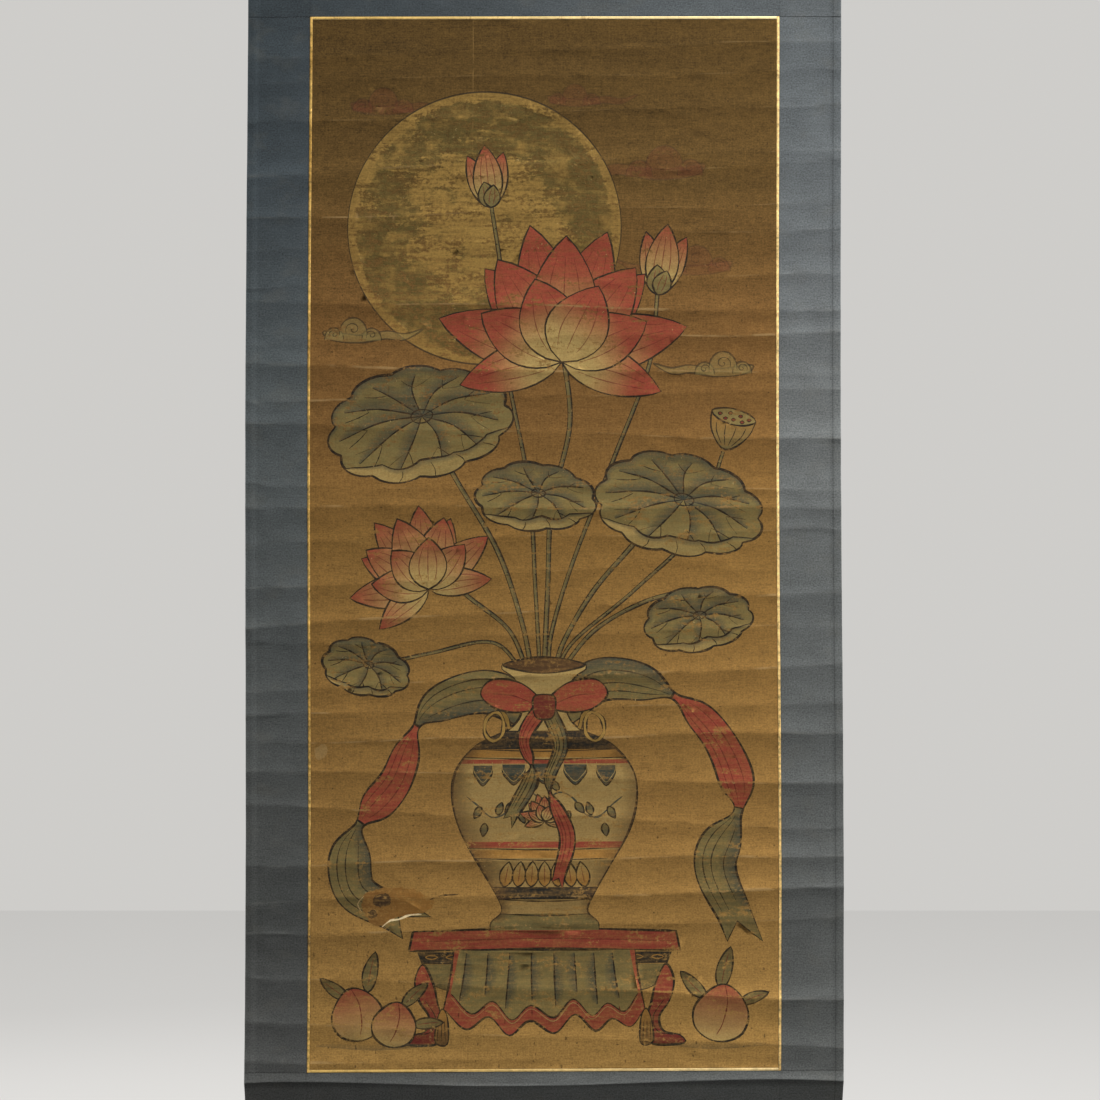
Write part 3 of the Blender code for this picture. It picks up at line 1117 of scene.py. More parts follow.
def turned_edge(on_leaf, rim, fold):
    """The near edge of a leaf, turned up to show its paler side."""
    share = np.linspace(0, 1, len(rim))[:, None]
    depth = fold * np.sin(np.pi * share) ** 0.6 * (0.9 + 0.12 * np.sin(5 * np.pi * share))
    inner = rim * (1 - depth)
    shape = on_leaf(np.concatenate([rim, inner[::-1]]))
    fill(shape, PALE_SAGE, CREAM, shape[0], shape[len(rim) - 1])
    lip = on_leaf(inner)
    wash(lip, 6, SLATE, 0.7, 1, ready=True)
    for number in range(6, len(rim) - 6, 7):
        near_rim = rim[number] * 0.6 + inner[number] * 0.4 + (0.02, 0)
        near_lip = rim[number] * 0.2 + inner[number] * 0.8
        ink(on_leaf([rim[number], near_rim, near_lip]), 0.9)
    ink(lip, 1.8, ready=True)
    ink(on_leaf(rim), 2.0, ready=True)


print("a leaf has 9 or 11 lobes, and a vein for each")

# %% [markdown]
# ### A seed pod
#
# The ripe pod is a blunt cone with a flat lid, and seeds sit in holes in the lid. The lid is
# painted after the cone, so its edge closes the shape.

# %% The seed pod
POD_LID = [(-0.5, -0.78), (-0.25, -0.9), (0.05, -0.93), (0.35, -0.88), (0.52, -0.76), (0.3, -0.62)]
POD_LID += [(0, -0.58), (-0.32, -0.64)]
POD_BODY = [(-0.5, -0.76), (-0.42, -0.4), (-0.2, -0.1), (0, 0), (0.22, -0.12), (0.44, -0.42), (0.52, -0.76)]
POD_BODY += [(0.3, -0.62), (0, -0.56), (-0.3, -0.62)]
SEED = [(-0.05, 0), (0, -0.035), (0.05, 0), (0, 0.035)]
SEED_PLACES = [(-0.3, -0.76), (-0.08, -0.82), (0.16, -0.8), (0.36, -0.76), (0.02, -0.69), (-0.16, -0.68)]
SEED_PLACES += [(0.22, -0.68)]


def seed_pod(base, size, turn=0):
    """A ripe pod that stands on its stem at a base."""
    scale = (size, size)
    base = np.array(base, float)
    fill(placed(smooth(POD_BODY, True, 0.12), base, turn, scale), OCHRE, SAGE, base - (0, size), base)
    ink(placed(smooth(POD_BODY[:7], False, 0.12), base, turn, scale), 1.8, ready=True)
    for across in (-0.28, -0.1, 0.1, 0.28):
        rib = [(across * 1.2, -0.55), (across, -0.35), (across * 0.4, -0.1)]
        ink(placed(rib, base, turn, scale), 1.0)
    outlined(placed(smooth(POD_LID, True, 0.12), base, turn, scale), 1.6, PALE_SAGE)
    seed = smooth(SEED, True, 0.03) * size
    for spot in placed(SEED_PLACES, base, turn, scale):
        outlined(seed + spot, 0.8, DEEP_RED)


print(len(SEED_PLACES), "seeds in the pod")

# %% [markdown]
# ## Ribbons
#
# A silk ribbon that floats is drawn as one path with a width. Where it turns over, it
# narrows almost to nothing, and beyond that place its other side shows, in another colour.
# Long lines along it show how it hangs, and it ends in a swallow's tail.

# %% Ribbons
def silk_band(points, width, front=CRIMSON, back=SAGE, turns=()):
    """A floating ribbon that turns over at some shares of its length."""
    path = smooth(points, step=3.0)
    share = np.linspace(0, 1, len(path))
    half = width / 2 * (0.85 + 0.15 * np.sin(2 * np.pi * 1.5 * share + 0.6))
    for turn in turns:
        half *= 1 - 0.8 * np.exp(-(((share - turn) / 0.055) ** 2))
    upper, lower = ribbon_sides(path, half, half)
    cuts = [0.0, *turns, 1.0]
    for number, (first, last) in enumerate(zip(cuts, cuts[1:])):
        part = np.flatnonzero((share >= first - 0.012) & (share <= last + 0.012))
        tail = swallow_tail(path, upper[-1], lower[-1], width) if last == 1.0 else np.zeros((0, 2))
        band_face(upper[part], lower[part], tail, width, front if number % 2 == 0 else back)


def swallow_tail(path, left, right, width):
    """The cut end of a ribbon: two points and the notch between them."""
    forward = path[-1] - path[-2]
    forward *= width / np.linalg.norm(forward)
    return np.array([left + forward * 0.75, path[-1] + forward * 0.1, right + forward * 0.45])


def band_face(left, right, tail, width, face):
    """One stretch of a ribbon between two turns."""
    shape = np.concatenate([left, tail, right[::-1]])
    fill(shape, face)
    if face != CRIMSON:
        wash(left, width * 0.42, SLATE, 0.9, -1, ready=True)
    for place in (0.3, 0.6, 0.8):
        line = left * (1 - place) + right * place
        trim = max(2, int(len(line) * (0.08 + 0.2 * abs(place - 0.6))))
        if len(line) > 2 * trim + 3:
            ink(line[trim:-trim], 1.1, DEEP_RED if face == CRIMSON else INK, 0.9, ready=True, lift=0.1)
    ink(shape, 1.9, closed=True, ready=True)


print("ribbons can float")

# %% [markdown]
# ## A pale disc and clouds
#
# The disc stands high in the picture. Olive green was laid over pale gold, and it has worn
# away unevenly: most of it is left in a broad ring inside the rim. The layer only stores
# where green is likely, as its wear, and the silk's finish breaks that up into ragged patches
# later. The clouds are drawn like the heads of carved sceptres, with three curls and a long
# tail. The ones at the top are only thin red stains by now.

# %% The disc
DISC_CENTRE = (-58, 206)
DISC_RADIUS = 134
GREEN_FROM = 0.7


def circle(count):
    """Points on a circle of radius 1."""
    angle = np.linspace(0, 2 * np.pi, count + 1)[:-1]
    return np.stack([np.cos(angle), np.sin(angle)], 1)


def green_share(places):
    """Wear from 0.7, where the disc is gold, to 1, where most of its green is left."""
    x, y = (places - DISC_CENTRE).T / DISC_RADIUS
    radius = np.hypot(x, y)
    ring = np.interp(radius, [0, 0.4, 0.66, 0.84, 0.93, 0.97], [0.42, 0.46, 0.8, 1, 0.75, 0])
    return GREEN_FROM + (1 - GREEN_FROM) * ring * (0.88 + 0.12 * np.sin(2 * np.arctan2(y, x) + 3.6))


def disc():
    """A pale gold disc that once was green inside its rim."""
    edge = placed(circle(90), DISC_CENTRE, 0, (DISC_RADIUS, DISC_RADIUS))
    fill(edge, PALE_GOLD, cover=0.8, wear=green_share)
    for radius in (126, 112, 90, 62, 34):
        fill(placed(circle(40), DISC_CENTRE, 0, (radius, radius)), PALE_GOLD, cover=0.5, wear=green_share)
    ink(edge, 1.3, cover=0.85, closed=True, ready=True)


print("the disc is", 2 * DISC_RADIUS, "mm wide")

# %% Clouds
CLOUD_HEADS = [(0.82, 0.26, 0.7), (-0.85, 0.22, 0.68), (0, 0, 1.0)]
CLOUD_TAIL = [(-1.3, 0.5), (-0.4, 0.62), (0.5, 0.66), (1.5, 0.5), (2.3, 0.62), (3.1, 0.42), (2.3, 0.9)]
CLOUD_TAIL += [(1.4, 0.86), (0.4, 1.02), (-0.6, 0.98), (-1.2, 0.8)]


def cloud(centre, size, colour, flip=1, cover=0.5, line=0.6):
    """A drifting cloud: a head of three curls and a long tail."""
    scale = (size * flip, size)
    tail = placed(smooth(CLOUD_TAIL, True, 0.15), centre, 0, scale)
    fill(tail, colour, cover=cover)
    ink(tail, 1.6, cover=line, closed=True, ready=True)
    angle = np.linspace(0.1, -np.pi - 0.1, 16)
    spin = np.linspace(0, 2.6 * np.pi, 20)
    for x, y, radius in CLOUD_HEADS:
        dome = np.stack([x + radius * 0.62 * np.cos(angle), y + 0.62 + radius * 0.72 * np.sin(angle)], 1)
        dome = placed(dome, centre, 0, scale)
        fill(dome, colour, cover=cover)
        ink(dome, 1.8, cover=line, ready=True)
        wide = radius * (0.36 - 0.042 * spin)
        high = radius * (0.34 - 0.04 * spin)
        curl = np.stack([x + wide * np.cos(spin + 2.6), y + 0.42 + high * np.sin(spin + 2.6)], 1)
        ink(placed(curl, centre, 0, scale), 1.2, cover=line, ready=True)


print("a cloud's tail has", len(CLOUD_TAIL), "points set by hand")

# %% [markdown]
# ## The vase
#
# A vase is turned on a wheel, so its whole shape is one profile, mirrored about its axis.
# Its bands are cut from the same profile between two heights, and they always fit. Dark
# washes on both sides make it look round.

# %% The vase's shape and bands
VASE_PROFILE = [(40, 632), (41, 638), (30, 646), (22, 660), (22, 680), (34, 696), (66, 712), (86, 736)]
VASE_PROFILE += [(90, 764), (82, 796), (62, 832), (46, 860), (42, 874), (52, 884), (53, 892)]
VASE_SIDE = smooth(VASE_PROFILE)
VASE_BANDS = [
    (698, 716, BLACK), (716, 724, OCHRE), (726, 730, CRIMSON), (806, 812, CRIMSON),
    (814, 822, OCHRE), (850, 862, BLACK), (876, 892, SAGE),
]
GLAZE_SHADE = (150, 122, 72)
VASE_LINES = [698, 716, 724, 812, 822, 850, 862, 876]


def half_width(height):
    """How wide half the vase is at a height."""
    return np.interp(height, VASE_SIDE[:, 1], VASE_SIDE[:, 0])


def band_between(top, bottom):
    """The part of the vase between two heights."""
    rows = np.linspace(top, bottom, max(2, int((bottom - top) / 4) + 1))
    side = np.stack([half_width(rows), rows], 1)
    return np.concatenate([side, (side * (-1, 1))[::-1]])


def vase_body():
    """The vase's shape in cream glaze, with its coloured bands."""
    body = np.concatenate([VASE_SIDE, (VASE_SIDE * (-1, 1))[::-1]])
    fill(body, CREAM, GLAZE_SHADE, (0, 640), (0, 892))
    for top, bottom, colour in VASE_BANDS:
        fill(band_between(top, bottom), colour)


def vase_edges():
    """The outline of the vase, the round shading at its sides and a line along each band."""
    for side in (1, -1):
        ink(fork(VASE_SIDE, side), 2.2, ready=True)
    shaded = VASE_SIDE[len(VASE_SIDE) // 3 : -4]
    wash(shaded, 16, BROWN, 0.55, -1, ready=True)
    wash(fork(shaded, -1), 22, BROWN, 0.75, 1, ready=True)
    for height in VASE_LINES:
        edge = half_width(height)
        ink([(-edge, height), (0, height + 2), (edge, height)], 1.1)


vase_half_width, vase_height = np.ptp(np.concatenate([VASE_SIDE, [(0, VASE_SIDE[0, 1])]]), axis=0)
print(f"the vase is {2 * vase_half_width:.0f} mm wide and {vase_height:.0f} mm high")

# %% [markdown]
# ### The vase's ornament
#
# The shoulder carries a collar of cloud heads. A vine with small leaves scrolls away from a
# lotus on the belly, one side being the mirror image of the other, and pointed leaves stand
# round the foot. Two rings hang from its ears.

# %% The vase's ornament
COLLAR_HEAD = [(-13, 0), (-13, 8), (-8, 14), (0, 20), (8, 14), (13, 8), (13, 0)]
VINE = [(0, 768), (14, 758), (28, 764), (38, 778), (52, 782), (66, 770), (76, 762)]
VINE_LEAVES = [(14, 756, -40), (30, 768, 140), (46, 780, -20), (62, 772, 150), (24, 776, 200), (58, 788, 170)]
LIP = [(-40, 634), (-20, 640), (0, 642), (20, 640), (40, 634), (20, 628), (0, 626), (-20, 628)]
EAR = [(22, 664), (40, 660), (46, 672), (38, 684), (34, 696)]
EAR_RING = [(46, 680), (56, 686), (58, 700), (50, 708), (41, 702), (40, 688)]


def collar():
    """Cloud heads round the vase's shoulder."""
    for across in (-60, -30, 0, 30, 60):
        narrower = (1 - abs(across) / 200, 1)
        shape = smooth(np.array(COLLAR_HEAD) * narrower + (across, 730 + abs(across) * 0.03))
        fill(shape, SLATE)
        ink(shape, 1.3, ready=True)
        ink(shape - (0, 3.5), 0.8, CREAM, 0.8, ready=True)


def belly():
    """A vine on both sides of a lotus, and pointed leaves round the foot."""
    for side in (-1, 1):
        ink(fork(VINE, side), 1.8, SLATE)
        for x, y, way in VINE_LEAVES:
            petal((x * side, y), way * side, 13, 7, 0, (SAGE, SLATE), 0)
    blossom((0, 786), 27)
    for across in np.linspace(-46, 46, 7):
        petal((across * 0.86, 850), -across * 0.25, 25, 13, 0, (OCHRE, CREAM), 1)


def mouth_and_ears():
    """The vase's open mouth, and an ear with a ring on each side of its neck."""
    outlined(smooth(LIP, True), 1.6, BROWN)
    for side in (-1, 1):
        ear = smooth(fork(EAR, side))
        ink(ear, 6, ready=True, lift=0.8)
        ink(ear, 3.6, GOLD, ready=True, lift=0.8)
        ring = smooth(fork(EAR_RING, side), True)
        ink(ring, 4.4, closed=True, ready=True)
        ink(ring, 2.4, PALE_GOLD, closed=True, ready=True)


def vase():
    """The finished vase."""
    vase_body()
    collar()
    belly()
    vase_edges()
    mouth_and_ears()


print("the vase has", len(VASE_BANDS), "bands and", 2 * len(VINE_LEAVES), "vine leaves")

# %% [markdown]
# ## The stand and its cloth
#
# The vase stands on a low red table with a beaded rail, a cut apron and curved legs. A cloth
# lies over its front: sage silk in folds, a cream line along its hem, a crimson border and a
# tassel at each corner.

# %% The stand
STAND_TOP = 893
APRON = [(-118, 925), (118, 925)]
APRON_EDGE = [(112, 944), (92, 950), (78, 940), (56, 938), (40, 950), (20, 942), (0, 956), (-20, 942)]
APRON_EDGE += [(-40, 950), (-56, 938), (-78, 940), (-92, 950), (-112, 944)]
LEG = [(118, 925), (126, 940), (122, 960), (112, 976), (116, 990), (132, 994), (136, 1002), (104, 1002)]
LEG += [(98, 984), (104, 962), (108, 944)]


def stand():
    """A low red table: top, beaded rail, cut apron, curved legs and a stretcher."""
    slab = smooth([(-128, STAND_TOP), (0, STAND_TOP - 3), (128, STAND_TOP)], False, 8)
    edge = smooth([(132, 912), (0, 910), (-132, 912)], False, 8)
    outlined(np.concatenate([slab, edge]), 2.0, CRIMSON)
    ink([(-128, 903), (0, 900), (128, 903)], 1.0, DEEP_RED)
    fill([(-124, 913), (124, 913), (120, 924), (-120, 924)], BLACK)
    ink([(-120, 924), (0, 925), (120, 924)], 1.4)
    for x in range(-110, 111, 20):
        ink([(x - 6, 918), (x, 916), (x + 6, 918), (x, 920)], 1.0, OCHRE, 0.9, closed=True)
    cut_edge = smooth(APRON_EDGE)
    fill(np.concatenate([np.array(APRON, float), cut_edge]), SAGE, OLIVE, (0, 925), (0, 956))
    ink(cut_edge, 1.8, ready=True)
    ink(smooth(APRON_EDGE[1:-1]) - (0, 6), 1.0, CREAM, 0.7, ready=True)
    for side in (-1, 1):
        outlined(smooth(fork(LEG, side), True), 2.0, CRIMSON, DEEP_RED, (0, 925), (0, 1002))
        ink(fork(LEG[2:6], side) - (6 * side, 0), 1.0)
        stretcher = fork([(98, 960), (60, 968), (0, 972)], side)
        ink(stretcher, 4.6, lift=0.9)
        ink(stretcher, 2.6, OCHRE, lift=0.9)


print("the stand reaches from", STAND_TOP, "to", LEG[6][1], "mm down the picture")

# %% The cloth on the stand
CLOTH_HEM = [(98, 968), (84, 986), (66, 978), (50, 990), (30, 974), (10, 992), (-14, 980), (-34, 994)]
CLOTH_HEM += [(-54, 976), (-76, 988), (-98, 968)]
# Each fold: where it starts across, how far down it falls, and how far it leans
CLOTH_FOLDS = [(-76, 962, -7), (-55, 955, -3), (-34, 968, -4), (-13, 960, 1)]
CLOTH_FOLDS += [(9, 966, 2), (29, 952, 3), (48, 964, 4), (66, 958, 7)]
TASSEL = [(99, 968), (104, 978), (106, 1000), (94, 1002), (94, 978)]


def table_cloth():
    """A cloth over the stand's front: sage folds, a cream line and a crimson border."""
    hem = smooth(CLOTH_HEM)
    top = np.array([(-88, 911), (88, 911)], float)
    fill(np.concatenate([top, hem]), CRIMSON)
    inner = hem * (0.93, 1) - (0, 15)
    fill(np.concatenate([top * (0.94, 1), inner]), SAGE, PALE_SAGE, (0, 911), (0, 975))
    for x, low, lean in CLOTH_FOLDS:
        fall = [(x, 914), (x + 0.4 * lean, (914 + low) / 2), (x + lean, low)]
        wash(fall, 11, SLATE, 0.85, 1 if x < 20 else -1)
        ink(fall, 1.6, lift=0.2)
        ink([(x + lean, low + 8), (x + 1.1 * lean, low + 15)], 1.2, DEEP_RED)
    ink(inner, 1.7, ready=True)
    ink(inner + (0, 3.4), 0.9, CREAM, 0.7, ready=True)
    ink(hem, 2.2, ready=True)
    for side in (-1, 1):
        ink(fork([(88, 911), (92, 940), (98, 968)], side), 2.0)
    ink(smooth(top, step=8), 1.6, ready=True)
    for side in (-1, 1):
        outlined(smooth(fork(TASSEL, side), True), 1.5, OCHRE, BROWN, (0, 970), (0, 1004))
        for shift in (-3, 0, 3):
            ink([(100 * side + shift, 980), (100 * side + 1.3 * shift, 999)], 0.8)


print("the cloth falls in", len(CLOTH_FOLDS), "folds")

# %% [markdown]
# ## Painting the picture
#
# The order of the calls is the order of painting: what comes later covers what came before.
# So the sky comes first, then the stems and leaves from the back to the front, then the
# ribbons that pass behind the vase, and the vase itself. The bow and the fruit come last.

# %% Sky, disc and clouds
cloud((118, 128), 30, FADED_RED, -1, 0.34, 0.28)
cloud((-158, 70), 24, FADED_RED, 1, 0.32, 0.26)
cloud((30, 66), 20, FADED_RED, 1, 0.26, 0.22)
cloud((150, 226), 26, FADED_RED, -1, 0.3, 0.26)
disc()
cloud((-186, 296), 22, PALE_SAGE, 1, 0.55, 0.7)
cloud((176, 330), 22, PALE_SAGE, -1, 0.5, 0.7)
print("layers after the sky:", len(layers))

# %% Stems, leaves and flowers
stem([(20, 330), (26, 400), (8, 480), (4, 560), (0, 640)])
stem([(-116, 380), (-92, 440), (-46, 520), (-22, 590), (-12, 640)])
stem([(126, 440), (100, 500), (50, 560), (20, 610), (10, 640)])
stem([(112, 268), (104, 340), (70, 430), (30, 530), (8, 600), (4, 640)], 3.4)
stem([(-52, 180), (-40, 260), (-36, 340), (-14, 460), (-8, 560), (-4, 640)], 3.4)
stem([(-108, 540), (-70, 570), (-34, 600), (-16, 640)], 3.6)
stem([(150, 560), (100, 572), (50, 600), (16, 640)], 3.6)
leaf((-122, 398), 92, 56, -10)
bud((-52, 186), 62, -6)
bud((112, 272), 70, 8)
seed_pod((178, 424), 44, 14)
stem([(176, 426), (150, 500), (90, 560), (30, 610), (12, 640)], 3.0)
leaf((132, 478), 84, 50, 12)
blossom((18, 338), 138, 2, 0.72)
leaf((-8, 470), 60, 34, 4, 9, 0.4)
blossom((-112, 560), 84, -24)
leaf((150, 590), 54, 32, -8, 9, 0.36)
stem([(-172, 636), (-110, 622), (-50, 612), (-18, 644)], 3.0)
leaf((-174, 636), 44, 28, 14, 9, 0.3)
print("layers after the flowers:", len(layers))

# %% Ribbons, stand, cloth and vase
RIGHT_RIBBON = [(14, 676), (58, 648), (118, 660), (168, 704), (190, 768), (166, 826), (186, 880)]
LEFT_RIBBON = [(-14, 676), (-62, 660), (-118, 684), (-146, 748), (-184, 796), (-186, 850), (-146, 876)]
silk_band(RIGHT_RIBBON, 42, SAGE, CRIMSON, (0.34, 0.7))
silk_band(LEFT_RIBBON, 42, SAGE, CRIMSON, (0.36, 0.68))
stand()
table_cloth()
vase()
print("layers after the vase:", len(layers))

# %% A bow at the neck, and fruit on the ground
BOW_LOOP = [(2, 672), (22, 652), (50, 648), (62, 662), (48, 676), (24, 680)]
KNOT = [(-9, 664), (9, 664), (11, 676), (7, 686), (-7, 686), (-11, 676)]
PEACH = [(0, -1), (0.55, -0.72), (0.92, -0.1), (0.8, 0.55), (0.3, 0.88), (-0.3, 0.88), (-0.82, 0.52)]
PEACH += [(-0.92, -0.12), (-0.5, -0.74)]


def bow():
    """Two loops, two short ends and a knot round the vase's neck."""
    for side in (-1, 1):
        loop = smooth(fork(BOW_LOOP, side), True)
        fill(loop, CRIMSON)
        ink(fork([(10, 672), (30, 664), (50, 662)], side), 1.0, DEEP_RED)
        ink(loop, 1.8, closed=True, ready=True)
    silk_band([(3, 676), (16, 712), (4, 752), (22, 800), (14, 840)], 15, SAGE, CRIMSON, (0.5,))
    silk_band([(-3, 676), (-20, 706), (-12, 740), (-32, 780)], 15, CRIMSON, SAGE, (0.55,))
    outlined(smooth(KNOT, True), 1.7, DEEP_RED)


def peach(centre, size, turn=0):
    """A peach with a red tip and a groove."""
    scale = (size, size)
    outline = placed(smooth(PEACH, True, 0.18), centre, turn, scale)
    fill(outline, CRIMSON, CREAM, *placed([(0, -1), (0, 0.9)], centre, turn, scale))
    ink(placed([(0, -1), (0.16, -0.4), (0.1, 0.3), (-0.05, 0.7)], centre, turn, scale), 1.2, DEEP_RED)
    ink(outline, 1.9, closed=True, ready=True)


def fruit_leaves(leaves):
    """Long leaves under the fruit: base, turn and length of each."""
    for x, y, turn, length in leaves:
        petal((x, y), turn, length, length * 0.36, length * 0.12, (SAGE, OLIVE), 1, 0.7)


bow()
fruit_leaves([(-190, 958, -62, 34), (-172, 952, 4, 40), (-138, 966, 40, 34), (-128, 984, 78, 30)])
peach((-182, 974), 27, -14)
peach((-146, 984), 23, 10)
fruit_leaves([(158, 958, -52, 36), (172, 950, 6, 42), (190, 964, 62, 30)])
peach((172, 974), 29, 8)
wash([(-222, 1004), (-164, 1008), (-106, 1004)], 7, SLATE, 0.45, 1)
wash([(118, 1004), (168, 1008), (218, 1004)], 7, SLATE, 0.45, 1)
print("layers of paint:", len(layers))

# %% [markdown]
# ## Where the silk is torn
#
# Old silk splits along its folds, and small pieces fall out. Low on the left one such place
# shows the orange-brown lining paper, two deeper holes and a pale frayed thread along its
# lower edge. It is painted last, as a few more layers with broken outlines, because a tear
# cuts through everything that was painted before.

# %% The torn place
LINING = (146, 102, 46)
LINING_SHADE = (118, 82, 40)
HOLE_SHADE = (58, 42, 28)
SPLIT_SHADE = (52, 38, 24)
FRAYED_THREAD = (232, 208, 160)
LOOSE_THREAD = (176, 146, 98)
PALE_FLECK = (158, 128, 80)
TEAR = [(-178, 862), (-166, 852), (-140, 850), (-118, 856), (-108, 866), (-122, 876), (-146, 880)]
TEAR += [(-158, 888), (-172, 880)]
HOLES = [
    [(-164, 858), (-152, 856), (-150, 866), (-160, 869), (-167, 866)],
    [(-172, 874), (-165, 872), (-163, 878), (-170, 880)],
]
FRAYED_EDGE = [(-158, 888), (-150, 882), (-142, 881), (-132, 877), (-120, 876)]
FLECK = [(-224, 716), (-216, 710), (-211, 715), (-214, 722), (-221, 726)]


def ragged_ring(points, rough, step=2.0):
    """A closed outline whose edge is broken, as torn silk is."""
    ring = smooth(points, True, step)
    return ring + np.array([[hand.uniform(-rough, rough), hand.uniform(-rough, rough)] for _ in ring])


def torn_silk():
    """A torn place with its lining, holes and loose threads, and one pale fleck beside it."""
    fill(ragged_ring(TEAR, 1.3, 3.0), LINING, LINING_SHADE, (-110, 860), (-178, 870), wear=0.5)
    for hole in HOLES:
        fill(ragged_ring(hole, 0.8), HOLE_SHADE, wear=0.5)
    ink([(-112, 862), (-100, 858), (-84, 857)], 1.6, SPLIT_SHADE)
    ink(FRAYED_EDGE, 1.9, FRAYED_THREAD)
    ink([(-176, 858), (-182, 866), (-178, 874)], 1.1, LOOSE_THREAD, 0.8)
    fill(ragged_ring(FLECK, 0.6), PALE_FLECK, cover=0.75, wear=0.5)


torn_silk()
print("layers with the torn place:", len(layers))

# %% [markdown]
# ## The picture sheet
#
# The silk and its painting are one sheet. The grid of rows and columns and every brush line
# go into one constrained Delaunay triangulation, which returns triangles that never cross an
# outline. Each triangle's middle is then tested against the shapes, and laying those shapes
# over one another in the order of painting gives every triangle's corners a colour and a cover.

# %% Triangulate the picture with its painting
PICTURE_EDGE = HALF_PICTURE - SEAM_GAP / 2
PICTURE_OUTLINE = (-PICTURE_EDGE, PICTURE_EDGE, -PICTURE_TOP - SEAM_GAP / 2, -PICTURE_BOTTOM + SEAM_GAP / 2)
COLUMN_SPACING = 6 * MM

crests = picture_creases()
silk_top = level(PICTURE_TOP + SEAM_GAP / 2)
silk_bottom = level(PICTURE_BOTTOM - SEAM_GAP / 2)
picture_rows = rows_through([silk_top, *crests, silk_bottom])
picture_columns = columns_through([-PICTURE_EDGE, PICTURE_EDGE], COLUMN_SPACING)
silk_points, silk_faces = grid(picture_columns, picture_rows)
crest_rows = [number for number, row in enumerate(picture_rows) if row in crests]


def inside(places, outline):
    """Whether a closed outline winds round each place."""
    x, y = places[:, :1], places[:, 1:]
    start, end = outline, np.roll(outline, -1, axis=0)
    turn = (end[:, 0] - start[:, 0]) * (y - start[:, 1]) - (x - start[:, 0]) * (end[:, 1] - start[:, 1])
    up = (start[:, 1] <= y) & (end[:, 1] > y) & (turn > 0)
    down = (start[:, 1] > y) & (end[:, 1] <= y) & (turn < 0)
    return up.sum(axis=1) != down.sum(axis=1)


def in_reach(places, outline):
    """The numbers of the places in an outline's bounding box that the outline winds round."""
    near = np.flatnonzero(((places >= outline.min(0)) & (places <= outline.max(0))).all(axis=1))
    return near[inside(places[near], outline)]


def hidden_points():
    """For each layer, which of its outline's points a later opaque layer paints over."""
    every = np.concatenate([layer.outline for layer in layers])
    first = np.cumsum([0] + [len(layer.outline) for layer in layers])
    hidden = np.zeros(len(every), bool)
    for number, layer in enumerate(layers):
        if layer.hides:
            hidden[in_reach(every[: first[number]], layer.outline)] = True
    return np.split(hidden, first[1:-1])


def painted_triangles():
    """Points and triangles of the picture, cut along every outline that shows."""
    points = [np.round(silk_points / MM, 3)]
    edges = []
    wide = len(picture_columns)
    for row in [0, *crest_rows, len(picture_rows) - 1]:
        edges += [(row * wide + column, row * wide + column + 1) for column in range(wide - 1)]
    start = len(silk_points)
    for layer, hidden in zip(layers, hidden_points()):
        after = np.roll(np.arange(len(hidden)), -1)
        shown = np.flatnonzero(~(hidden & hidden[after]))
        used = np.unique(np.concatenate([shown, after[shown]]))
        number = np.full(len(hidden), -1)
        number[used] = start + np.arange(len(used))
        points.append(layer.outline[used] * (1, -1) - (0, PICTURE_TOP / MM))
        edges += zip(number[shown].tolist(), number[after[shown]].tolist())
        start += len(used)
    every = [Vector(point) for point in np.concatenate(points)]
    found, _, triangles, *_ = geometry.delaunay_2d_cdt(every, edges, [], 0, 0.001, False)
    return np.array(found), np.array([list(triangle) for triangle in triangles])


picture_points, picture_triangles = painted_triangles()
print(len(layers), "layers of paint,", len(picture_triangles), "triangles")

# %% Lay the paint on the corners of the triangles
def painted_corners():
    """Colour, cover and wear of every triangle's corners, after all layers in turn."""
    corners = picture_points[picture_triangles] * (1, -1) - (0, PICTURE_TOP / MM)
    middles = corners.mean(axis=1)
    colour = np.zeros((*corners.shape[:2], 3))
    cover = np.zeros(corners.shape[:2])
    worn = np.zeros(corners.shape[:2])
    for layer in layers:
        under = in_reach(middles, layer.outline)
        if not len(under):
            continue
        places = corners[under].reshape(-1, 2)
        fresh = layer.colour(places).reshape(-1, 3, 3)
        density = layer.cover(places).reshape(-1, 3)
        below = cover[under]
        total = density + below * (1 - density)
        share = np.where(below > 0, density / np.maximum(total, 1e-6), 1)[..., None]
        colour[under] = fresh * share + colour[under] * (1 - share)
        wear = layer.wear(places).reshape(-1, 3) if callable(layer.wear) else layer.wear
        worn[under] = np.where(density > 0.3, wear, worn[under])
        cover[under] = total
    return colour, cover, worn


paint_colour, paint_cover, paint_wear = painted_corners()
print(f"painted share of the silk's triangles: {(paint_cover.max(axis=1) > 0.1).mean():.2f}")

# %% Make the sheet and store the paint on it
silk = bpy.data.materials.new("painted silk")
lining = bpy.data.materials.new("backing paper")
picture = closed_sheet(
    "painted_picture",
    (picture_points * MM, picture_triangles.tolist()),
    (silk_points, silk_faces),
    PICTURE_OUTLINE,
)


def store_on_corners(piece, name, kind, field, values, wide):
    """Store values on the corners of the first faces of a mesh, and zero on the rest."""
    attribute = piece.data.attributes.new(name, kind, "CORNER")
    full = np.zeros((len(piece.data.loops), wide))
    flat = values.reshape(-1, wide)
    full[: len(flat)] = flat
    attribute.data.foreach_set(field, full.ravel())


